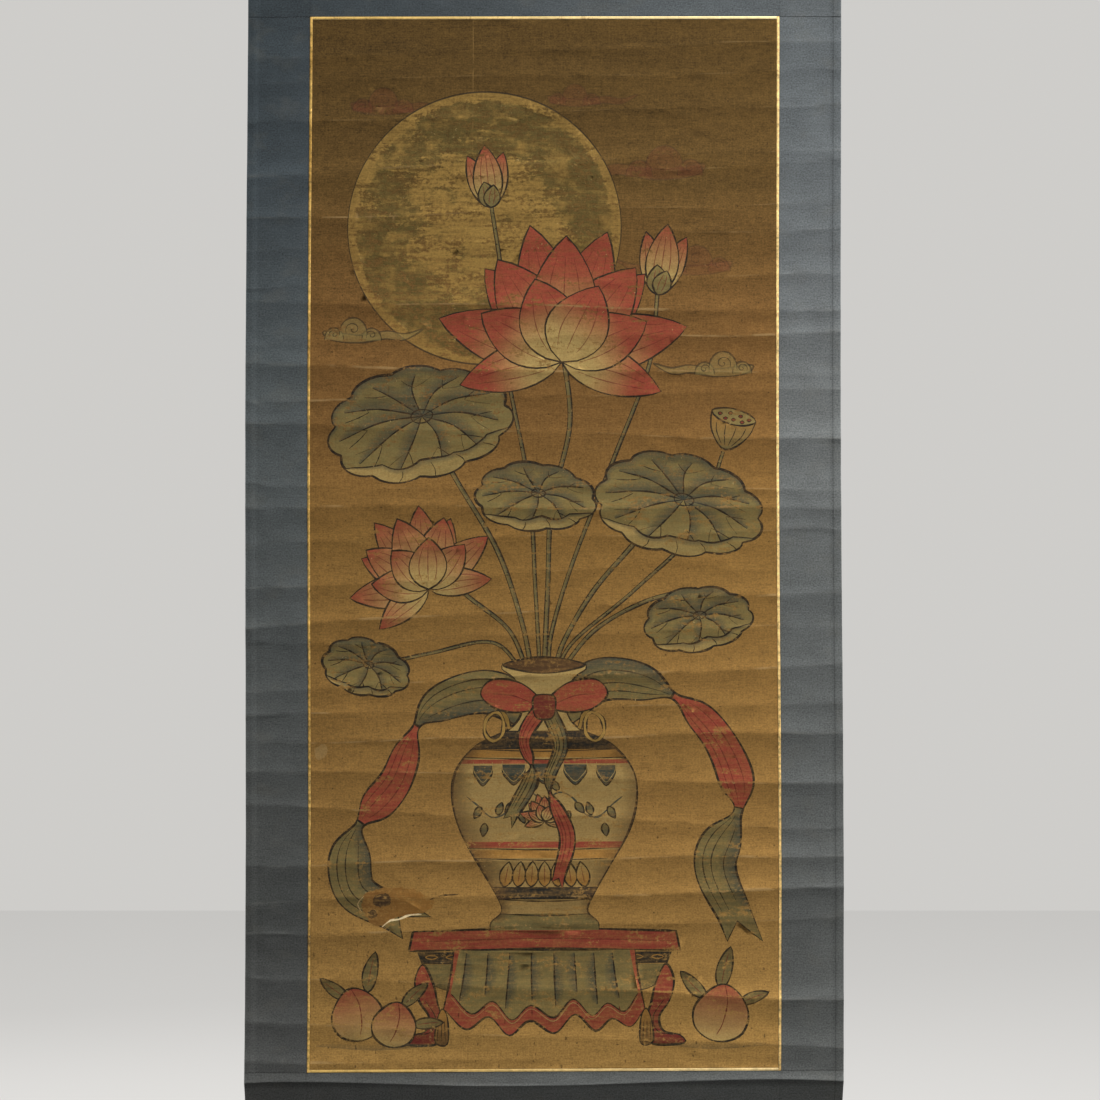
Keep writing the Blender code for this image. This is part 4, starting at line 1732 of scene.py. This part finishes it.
paint_rgba = np.concatenate([paint_colour, paint_cover[..., None]], axis=2)
store_on_corners(picture, "paint", "FLOAT_COLOR", "color", paint_rgba, 4)
store_on_corners(picture, "wear", "FLOAT", "value", paint_wear, 1)
mark_lined(picture, np.arange(len(picture.data.polygons)) >= len(picture_triangles))
hung(picture, silk, lining)
print(f"picture sheet: {len(picture.data.polygons)} faces, {volume(picture) * 1e6:.0f} cm3")

# %% [markdown]
# ## The four panels of mounting cloth
#
# The side panels run beside the picture, between full-width panels above and below. Their
# outer edges are turned in: the hem adds a layer at the back and lifts the front a hair, so a
# fine line runs along every long edge. The hem is part of its cloth, so it is only a change
# of thickness and no piece of its own.

# %% Cut and hang the panels
cloth = bpy.data.materials.new("blue-grey mounting cloth")
HEM_STEP = 0.5 * MM


def side_hem(points):
    """1 where the cloth is turned in along the scroll's long edges."""
    return (np.abs(points[:, 0]) >= HALF_WIDTH - SIDE_HEM - ON_THE_LINE).astype(float)


def every_hem(points):
    """1 where the cloth is turned in at any edge of the scroll."""
    at_top = points[:, 1] >= -END_HEM - ON_THE_LINE
    at_bottom = points[:, 1] <= END_HEM - SCROLL_HEIGHT + ON_THE_LINE
    return np.maximum(side_hem(points), (at_top | at_bottom).astype(float))


def cloth_panel(name, columns, rows, in_hem):
    """One panel of cloth, paper-backed but for its turned-in hems."""
    points, faces = grid(columns, rows)
    x, z = points.T
    outline = (x.min(), x.max(), z.max(), z.min())
    panel = closed_sheet(name, (points, faces), (points, faces), outline, in_hem)
    lined = np.zeros(len(panel.data.polygons), bool)
    lined[-len(faces) :] = in_hem(points)[np.array(faces)].min(axis=1) < 1
    mark_lined(panel, lined)
    hung(panel, cloth, lining)
    print(f"{name}: {len(panel.data.polygons)} faces, {volume(panel) * 1e6:.0f} cm3")
    return panel


SIDE_INNER = HALF_FRAME + SEAM_GAP / 2
SIDE_STEP = HALF_WIDTH - SIDE_HEM
panel_top = level(FRAME_TOP + SEAM_GAP / 2)
panel_bottom = level(FRAME_BOTTOM - SEAM_GAP / 2)
side_rows = rows_through([panel_top, *picture_creases(), panel_bottom])
end_places = [SIDE_STEP - HEM_STEP, SIDE_STEP, HALF_WIDTH - 1 * MM, HALF_WIDTH]
side_columns = columns_through([SIDE_INNER, *end_places], 4 * MM)
end_columns = columns_through([-place for place in reversed(end_places)] + end_places, 6 * MM)

side_panel_right = cloth_panel("side_panel_cloth_right", side_columns, side_rows, side_hem)
side_panel_left = cloth_panel("side_panel_cloth_left", -side_columns[::-1], side_rows, side_hem)

top_creases = [along_crease(number) for number in range(FIRST_PICTURE_CREASE)]
top_rows = rows_through([level(0), level(END_HEM)]) + rows_through(
    [level(END_HEM + HEM_STEP), *top_creases, level(FRAME_TOP - SEAM_GAP / 2)]
)
top_panel = cloth_panel("top_panel_cloth", end_columns, top_rows, every_hem)

FOLD_DROPS = [-6, -3, -1.2, -0.4, 0.4, 1.2, 3, 6, 10, 15, 21, 28, 36, 46]
bottom_creases = [along_crease(number) for number in range(FIRST_BOTTOM_CREASE, len(CREASES))]
bottom_rows = (
    [level(FRAME_BOTTOM + SEAM_GAP / 2)]
    + [beside_fold(drop * MM) for drop in FOLD_DROPS]
    + rows_through([*bottom_creases, level(SCROLL_HEIGHT - END_HEM - HEM_STEP)])
    + rows_through([level(SCROLL_HEIGHT - END_HEM), level(SCROLL_HEIGHT)])
)
bottom_panel = cloth_panel("bottom_panel_cloth", end_columns, bottom_rows, every_hem)

# %% [markdown]
# ## Gold strips
#
# Strips of gilded paper, thinner than a matchstick, cover the seams between picture and
# cloth. Each is one flat section that follows a straight path, so a second tree sweeps it:
# Curve to Mesh with a rounded rectangle, held square to the front by a fixed curve normal.
# The swept strip is then hung like everything else, and stands proud by a hair.

# %% Build the strip tree
STRIP_THICKNESS = 1.0 * MM
STRIP_LIFT = 0.22 * MM
STRIP_SIZES = {
    "Strip width": STRIP_WIDTH + SEAM_GAP,
    "Strip thickness": STRIP_THICKNESS,
    "Edge radius": 0.25 * MM,
    "Step": 1.5 * MM,
}


def build_strip_tree():
    """The Geometry Nodes tree that sweeps a flat rounded section along a path."""
    tree = bpy.data.node_groups.new("Sweep a paper strip", "GeometryNodeTree")
    bench = Bench(tree)
    wire = named_inputs(tree, [], STRIP_SIZES, ["Finish"])
    path = bench.out("GeometryNodeMeshToCurve", {}, {"Mesh": wire["Geometry"]})
    fine = bench.out("GeometryNodeResampleCurve", {"mode": "LENGTH"}, {"Curve": path, "Length": wire["Step"]})
    facing = bench.out("GeometryNodeSetCurveNormal", {"mode": "FREE"}, {"Curve": fine, "Normal": (0, -1, 0)})
    section = bench.out(
        "GeometryNodeCurvePrimitiveQuadrilateral", {"mode": "RECTANGLE"},
        {"Width": wire["Strip thickness"], "Height": wire["Strip width"]},
    )
    rounding = {"Curve": section, "Count": 2, "Radius": wire["Edge radius"]}
    soft = bench.out("GeometryNodeFilletCurve", {"mode": "POLY"}, rounding)
    strip = bench.out(
        "GeometryNodeCurveToMesh", {}, {"Curve": facing, "Profile Curve": soft, "Fill Caps": True}
    )
    real = bench.out("GeometryNodeRealizeInstances", {}, {"Geometry": strip})
    finished = bench.out("GeometryNodeSetMaterial", {}, {"Geometry": real, "Material": wire["Finish"]})
    outputs = tree.nodes.new("NodeGroupOutput")
    tree.links.new(finished.socket, outputs.inputs[0])
    return tree


strip_tree = build_strip_tree()
print("strip tree:", len(strip_tree.nodes), "nodes")

# %% Sweep and hang four strips
gold_leaf = bpy.data.materials.new("rubbed gold paper")


def gold_strip(name, start, end):
    """One strip of gilded paper between two places (across, down) on the flat scroll."""
    ends = [(across, STRIP_THICKNESS / 2, -down) for across, down in (start, end)]
    strip = new_piece(name, ends, [(0, 1)], [])
    worked(strip, strip_tree, Finish=gold_leaf)
    strip.data.shade_smooth()
    strip.data.set_sharp_from_angle(angle=math.radians(50))
    mark_lined(strip, [face.normal.y > 0.7 for face in strip.data.polygons])
    hung(strip, gold_leaf, lining, Raised=STRIP_LIFT)
    print(f"{name}: {len(strip.data.polygons)} faces, {volume(strip) * 1e6:.1f} cm3")
    return strip


STRIP_MIDDLE = HALF_PICTURE + STRIP_WIDTH / 2
STRIP_TOP = FRAME_TOP + STRIP_WIDTH / 2
STRIP_BOTTOM = FRAME_BOTTOM - STRIP_WIDTH / 2
STRIP_END = HALF_PICTURE - 0.1 * MM
strip_left = gold_strip("gold_paper_left", (-STRIP_MIDDLE, FRAME_TOP), (-STRIP_MIDDLE, FRAME_BOTTOM))
strip_right = gold_strip("gold_paper_right", (STRIP_MIDDLE, FRAME_TOP), (STRIP_MIDDLE, FRAME_BOTTOM))
strip_top = gold_strip("gold_paper_top", (-STRIP_END, STRIP_TOP), (STRIP_END, STRIP_TOP))
strip_bottom = gold_strip("gold_paper_bottom", (-STRIP_END, STRIP_BOTTOM), (STRIP_END, STRIP_BOTTOM))

# %% [markdown]
# ## Finishes
#
# Every finish reads the flat place that the hanging tree stored, so threads and stains
# follow the cloth. All pigments were chosen dull and a little transparent, because the silk
# has browned underneath them and a century of rolling has rubbed them thin.

# %% Helpers for finishes
def tint(*colour):
    """A colour written as three 8-bit numbers, as a shader's four linear numbers."""
    return (*(float(part) for part in tone(colour)), 1.0)


class Finish(Bench):
    """A material being built round one Principled shader."""

    def __init__(self, material):
        material.use_nodes = True
        super().__init__(material.node_tree)
        self.shader = material.node_tree.nodes["Principled BSDF"]
        spot = self.node("ShaderNodeAttribute", {"attribute_name": "place"}, {})
        self.place = Wire(self.tree, spot.outputs["Vector"])
        parts = self.node("ShaderNodeSeparateXYZ", {}, {"Vector": self.place})
        self.across = Wire(self.tree, parts.outputs["X"])
        self.down = -Wire(self.tree, parts.outputs["Z"])
        self.ridge = self.out("ShaderNodeAttribute", {"attribute_name": "ridge"}, {}, "Fac")

    def noise(self, per_metre_across, per_metre_down, detail=2.0, roughness=0.5, seed=0.0):
        """Noise that can be stretched along or across the scroll."""
        where = self.out("ShaderNodeCombineXYZ", {}, {
            "X": self.across * per_metre_across, "Y": self.down * per_metre_down, "Z": seed,
        })
        return self.out("ShaderNodeTexNoise", {}, {
            "Vector": where, "Scale": 1.0, "Detail": detail, "Roughness": roughness,
        })

    def mix(self, low, high, share):
        """One colour turning into another."""
        made = self.node("ShaderNodeMix", {"data_type": "RGBA"}, {0: share, 6: low, 7: high})
        return Wire(self.tree, made.outputs[2])

    def brighten(self, colour, amount):
        """A colour times a number."""
        made = self.node("ShaderNodeVectorMath", {"operation": "SCALE"}, {0: colour, "Scale": amount})
        return Wire(self.tree, made.outputs[0])

    def ramp(self, share, stops):
        """A colour that runs through several stops."""
        made = self.node("ShaderNodeValToRGB", {}, {"Fac": share})
        band = made.color_ramp
        while len(band.elements) < len(stops):
            band.elements.new(0.5)
        for element, (position, colour) in zip(band.elements, stops):
            element.position = position
            element.color = colour
        return Wire(self.tree, made.outputs["Color"])

    def near(self, distance, reach):
        """1 where a distance is 0, fading to 0 at reach on both sides."""
        return 1 - self.between(0.0, reach, abs(distance))

    def weave(self, pitch_across, pitch_down):
        """Height of a plain weave: warp and weft threads crossing, from 0 to 1."""
        warp = (self.across * (2 * math.pi / pitch_across)).sine()
        weft = (self.down * (2 * math.pi / pitch_down)).sine()
        return 0.5 + 0.25 * warp + 0.25 * weft

    def close(self, colour, roughness, height, strength=0.4, distance=0.0004):
        """Plug in what changes over the surface."""
        plug(self.tree, self.shader.inputs["Base Color"], colour)
        plug(self.tree, self.shader.inputs["Roughness"], roughness)
        sockets = {"Height": height, "Strength": strength, "Distance": distance}
        plug(self.tree, self.shader.inputs["Normal"], self.out("ShaderNodeBump", {}, sockets, "Normal"))


print("finishes can be mixed")

# %% [markdown]
# ### Painted silk
#
# The ground is silk that is darkest at the top, with bands of soot there, and paler below
# and towards the right. Its ramp was tuned until the hanging scroll looked right, so it
# holds some of the room's light besides the silk's own brown, and its paling towards the
# right is painted light from the right. Pigment sits on it in thin patches. It is lost
# first on the crests of creases and where two noises agree.

# %% Painted silk
def painted_silk():
    """Aged silk under worn pigment."""
    f = Finish(silk)
    height = (f.down - PICTURE_TOP) / PICTURE_HEIGHT
    # The ramp holds some painted light besides the silk's own brown.
    ground = f.ramp(height, [
        (0.0, tint(83, 62, 28)), (0.16, tint(96, 72, 35)), (0.30, tint(117, 84, 43)),
        (0.38, tint(123, 89, 46)), (0.50, tint(135, 101, 51)), (0.65, tint(141, 106, 55)),
        (0.78, tint(148, 112, 59)), (1.0, tint(162, 125, 67)),
    ])
    cloudy = f.noise(7, 11, 3, 0.6, 1)
    streak = f.noise(9, 120, 3, 0.6, 2)
    grain = f.noise(260, 320, 2, 0.6, 3)
    lint = f.noise(560, 680, 1, 0.5, 4)
    weft = f.noise(50, 760, 1, 0.5, 5)
    warp = f.noise(700, 45, 1, 0.5, 6)
    blotch = f.noise(36, 64, 4, 0.68, 7)
    mottle = f.noise(120, 160, 3, 0.6, 8)
    smoked = 1 - f.between(0.05, 0.45, height)
    patches = (0.46 * blotch + 0.60 * mottle - 0.53) * (0.66 + 0.4 * smoked)
    texture = (0.54 * grain + 0.90 * lint + 0.40 * weft + 0.24 * warp - 1.04) * (1.04 + 0.36 * smoked)
    soot = f.noise(5, 50, 2, 0.5, 18) - 0.5
    streaky = 0.20 * streak + (0.62 * soot - 0.12 * (streak - 0.5)) * smoked
    # Painted light: the 0.26 * f.across term paints the silk paler towards the right.
    ground = f.brighten(ground, 0.79 + 0.26 * f.across + 0.26 * cloudy + streaky + patches + texture)
    stain = f.between(0.60, 0.74, f.noise(16, 24, 4, 0.62, 9))
    ground = f.mix(ground, tint(70, 52, 27), stain * 0.22)
    specks = f.between(0.735, 0.765, f.noise(230, 230, 1, 0.5, 10))
    nicks = f.between(0.70, 0.73, f.noise(260, 110, 1, 0.5, 14)) * f.between(0.72, 0.97, height)
    ground = f.mix(ground, tint(58, 40, 22), (specks + nicks).clamped() * 0.6)
    crest = f.between(0.30, 0.85, f.ridge)
    cracked = crest * f.between(0.50, 0.60, f.noise(13, 45, 3, 0.6, 15))
    ground = f.mix(ground, tint(176, 146, 98), cracked * 0.42)
    scratch_end = f.between(PICTURE_TOP + 0.16, PICTURE_TOP + 0.20, f.down)
    scratch = f.near(f.across + 70 * MM, 0.9 * MM) * (1 - scratch_end)
    ground = f.mix(ground, tint(150, 118, 66), scratch * 0.45 * f.between(0.40, 0.62, streak))

    paint = f.node("ShaderNodeAttribute", {"attribute_name": "paint"}, {})
    pigment = Wire(f.tree, paint.outputs["Color"])
    cover = Wire(f.tree, paint.outputs["Alpha"])
    wear = f.out("ShaderNodeAttribute", {"attribute_name": "wear"}, {}, "Fac")
    patchy = f.noise(38, 60, 4, 0.65, 11)
    flaky = f.noise(260, 330, 3, 0.6, 12)
    brushed = f.noise(26, 240, 3, 0.65, 13)
    tired = 0.5 * patchy + 0.34 * flaky + 0.16 * brushed
    lost = f.between(0.545, 0.63, tired + 0.05 * wear + 0.05 * f.ridge)
    thin = f.between(0.40, 0.62, 0.6 * brushed + 0.4 * flaky)
    left_on = cover * (1 - 0.8 * lost) * (1 - (0.14 + 0.5 * wear) * thin)
    ragged = 0.60 * f.noise(26, 38, 5, 0.74, 16) + 0.22 * brushed + 0.18 * flaky
    green = f.between(0.29, 0.38, ragged + 0.36 * (wear - GREEN_FROM) / (1 - GREEN_FROM) - 0.36)
    green = green * f.between(GREEN_FROM - 0.02, GREEN_FROM + 0.02, wear) * f.between(0.30, 0.54, patchy)
    pigment = f.mix(pigment, tint(74, 66, 32), 0.85 * green)
    pigment = f.brighten(pigment, 0.70 + 0.34 * patchy + 0.26 * brushed + 0.5 * texture + 0.4 * patches)
    flecks = f.between(0.66, 0.72, f.noise(330, 300, 2, 0.6, 17)) * f.between(0.48, 0.56, patchy)
    pigment = f.mix(pigment, tint(190, 160, 104), 0.55 * flecks)
    colour = f.mix(ground, pigment, left_on.clamped())
    rim = f.near(HALF_PICTURE - abs(f.across), 1.3 * MM)
    rim = rim + f.near(PICTURE_TOP - f.down, 1.3 * MM) + f.near(PICTURE_BOTTOM - f.down, 1.3 * MM)
    colour = f.mix(colour, tint(92, 60, 22), 0.42 * rim.clamped())
    height_map = 0.5 * f.weave(0.55 * MM, 0.5 * MM) + 0.5 * grain + 0.35 * left_on
    f.close(colour, 0.86 - 0.10 * left_on, height_map, 0.35)
    f.shader.inputs["Specular IOR Level"].default_value = 0.12


painted_silk()
print("the silk's finish has", len(silk.node_tree.nodes), "nodes")

# %% [markdown]
# ### Mounting cloth
#
# The panels are a plain blue-grey weave, rubbed paler on the crests and along the hems, with
# a thin darker line beside the gold strips. Two ramps make it paler to the right and change
# it down the height. They were tuned too, and hold painted light from the right as well as
# fading. The fold's lip is painted paler, most on the right, as a painted highlight. Below
# the fold the cloth's colour is painted more than twice as bright, as painted light, only
# because this fold shades the cloth too strongly.

# %% Mounting cloth
def mounting_cloth():
    """Blue-grey plain-woven cloth, faded and rubbed, with painted light and shade."""
    f = Finish(cloth)
    slope = f.between(-0.34, 0.34, f.across)
    height = f.between(0.2, 1.35, f.down)
    # Painted light: the two ramps paint the left side darker and the right side paler, as the light from the
    # right leaves them, besides the cloth's own fading. Their stops from 0.86 to 1.0 paint a darker band low
    # on the left.
    left_dye_and_painted_shade = f.ramp(height, [
        (0.0, tint(53, 61, 65)), (0.12, tint(62, 70, 74)), (0.34, tint(82, 88, 89)), (0.86, tint(82, 84, 82)),
        (0.92, tint(70, 72, 70)), (1.0, tint(83, 84, 82)),
    ])
    right_dye_and_painted_light = f.ramp(height, [
        (0.0, tint(95, 100, 102)), (0.2, tint(104, 108, 109)), (0.36, tint(112, 115, 114)),
        (0.6, tint(98, 101, 100)), (1.0, tint(92, 94, 92)),
    ])
    dye_and_painted_light = f.mix(left_dye_and_painted_shade, right_dye_and_painted_light, slope)
    cloudy = f.noise(8, 12, 4, 0.6, 21)
    streak = f.noise(12, 150, 3, 0.6, 22)
    grain = f.noise(400, 460, 2, 0.7, 23)
    lint = f.noise(620, 700, 1, 0.5, 24)
    weft = f.noise(60, 760, 1, 0.5, 27)
    texture = 0.24 * grain + 1.30 * lint + 0.34 * weft
    patches = f.noise(27, 38, 4, 0.62, 28)
    dye_and_painted_light = f.brighten(dye_and_painted_light, -0.37 + 0.20 * cloudy + 0.12 * streak + 0.54 * patches + texture)
    faded = f.between(0.5, 0.7, f.noise(30, 42, 3, 0.6, 25))
    dye_and_painted_light = f.mix(dye_and_painted_light, tint(112, 108, 96), 0.12 * faded)
    rubbed = f.between(0.40, 0.68, f.noise(40, 160, 3, 0.6, 26))
    dye_and_painted_light = f.mix(dye_and_painted_light, tint(134, 134, 126), 0.16 * rubbed * f.ridge)
    hem_line = f.near(HALF_WIDTH - SIDE_HEM - abs(f.across), 0.9 * MM) * (0.3 + 0.7 * slope)
    edge = f.near(HALF_WIDTH - abs(f.across), 1.8 * MM)
    dye_and_painted_light = f.brighten(dye_and_painted_light, 1 - 0.30 * hem_line + 0.35 * edge)
    beside_gold = f.near(HALF_FRAME - abs(f.across), 2.0 * MM)
    seams = f.near(FRAME_TOP - f.down, 1.2 * MM) + f.near(FRAME_BOTTOM - f.down, 1.2 * MM)
    # Painted light: below the fold the cloth is painted 2.2 times as bright, to make up for the fold's shade.
    painted_light_below_fold = f.between(FRAME_BOTTOM + 9.5 * MM, FRAME_BOTTOM + 18 * MM, f.down)
    # Painted highlight: the fold's lip is painted paler, most on the right.
    lip = f.near(FRAME_BOTTOM + 6 * MM - f.down, 9 * MM) * (0.3 + 0.7 * slope)
    dye_and_painted_light = f.brighten(dye_and_painted_light, 1 - 0.16 * beside_gold - 0.22 * seams + 0.35 * lip + 1.2 * painted_light_below_fold)
    height_map = f.weave(0.62 * MM, 0.56 * MM) + 0.5 * grain
    f.close(dye_and_painted_light, 0.9, height_map, 0.45)
    f.shader.inputs["Specular IOR Level"].default_value = 0.2


mounting_cloth()
print("the cloth's finish has", len(cloth.node_tree.nodes), "nodes")

# %% [markdown]
# ### Gold paper and backing paper
#
# Gold leaf on old paper is part metal and part dust: it shines where it is whole and turns
# to brown ochre where it is rubbed, with fine specks. It is painted brighter and shinier
# towards the right, as painted light and reflection, and duller towards the bottom, as
# painted shade. The backs of all sheets are lined with the same pasted paper, with long
# fibres and a few water stains.

# %% Gold paper and backing paper
def rubbed_gold():
    """Gilded paper, rubbed along its length, with painted light to the right and painted shade low down."""
    f = Finish(gold_leaf)
    blotch = f.noise(90, 90, 3, 0.6, 31)
    fine = f.noise(500, 500, 2, 0.6, 32)
    worn = f.between(0.54, 0.68, 0.6 * blotch + 0.4 * fine)
    dusty_and_shaded_gold = f.mix(tint(190, 148, 72), tint(230, 188, 104), f.between(0.35, 0.65, f.noise(14, 14, 2, 0.5, 33)))
    # Painted light and reflection: towards the right the gold is painted brighter, shinier and less rubbed.
    painted_light_right = f.between(-0.2, 0.26, f.across)
    lying = f.between(0.0, 0.2 * MM, HALF_PICTURE - abs(f.across))
    dusty_and_shaded_gold = f.mix(dusty_and_shaded_gold, tint(220, 188, 112), 0.55 * lying)
    leaf = f.mix(dusty_and_shaded_gold, f.mix(tint(255, 216, 142), tint(255, 231, 174), lying), painted_light_right)
    colour = f.mix(leaf, tint(138, 100, 46), 0.75 * worn * (1 - 0.6 * painted_light_right))
    # Painted shade: towards the bottom the gold is painted duller and more ochre.
    painted_shade_low = f.between(0.75, 1.05, f.down)
    colour = f.mix(colour, tint(214, 170, 82), 0.30 * painted_shade_low)
    ticks = (f.noise(260, 260, 2, 0.6, 35) - 0.5) * (2.3 - 1.5 * lying)
    uneven = 0.36 * f.noise(45, 45, 2, 0.6, 34) - 0.18 + ticks
    shine = 0.95 + 0.15 * painted_light_right + lying * (0.25 - 0.13 * painted_light_right)
    shine = shine - painted_shade_low * (0.22 + 0.10 * lying * painted_light_right)
    colour = f.brighten(colour, shine + uneven)
    plug(f.tree, f.shader.inputs["Metallic"], (0.35 - 0.3 * worn).clamped())
    f.close(colour, 0.42 + 0.3 * worn, 0.6 * fine + 0.4 * blotch, 0.3)


def backing_paper():
    """The pasted lining paper on the back."""
    f = Finish(lining)
    fibre = f.noise(380, 60, 3, 0.6, 41)
    cloudy = f.noise(9, 9, 4, 0.6, 42)
    paper = f.mix(tint(176, 156, 120), tint(200, 184, 150), 0.5 * fibre + 0.5 * cloudy)
    stain = f.between(0.54, 0.68, cloudy) * 0.30
    paper = f.mix(paper, tint(132, 104, 66), stain + 0.12 * f.ridge.clamped())
    f.close(paper, 0.92, fibre + 0.4 * cloudy, 0.3)
    f.shader.inputs["Specular IOR Level"].default_value = 0.2


rubbed_gold()
backing_paper()
print("finishes:", ", ".join(material.name for material in bpy.data.materials))


# %% [markdown]
# ## Handing over
#
# Each dressed piece stands for its plain solid and rides on the one body that the scroll has.

# %% Say what each piece is
dressed = [
    (picture, "picture", "painted_silk"),
    (strip_left, "gold_strip_left", "gold_paper"),
    (strip_right, "gold_strip_right", "gold_paper"),
    (strip_top, "gold_strip_top", "gold_paper"),
    (strip_bottom, "gold_strip_bottom", "gold_paper"),
    (side_panel_left, "side_panel_left", "mounting_cloth"),
    (side_panel_right, "side_panel_right", "mounting_cloth"),
    (top_panel, "top_panel", "mounting_cloth"),
    (bottom_panel, "bottom_panel", "mounting_cloth"),
]
for piece, node, finish in dressed:
    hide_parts(node)
    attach(piece, "root")

bpy.data.meshes.remove(crease_table.data)  # its object goes with it

# %% Compare the two boxes and finish
scroll_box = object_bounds()
sizes = {
    "cad": [[float(value) for value in corner] for corner in cad_box],
    "visual": [[float(value) for value in corner] for corner in scroll_box],
}
for name, (low, high) in sizes.items():
    print(name, "box:", [round(b - a, 4) for a, b in zip(low, high)])
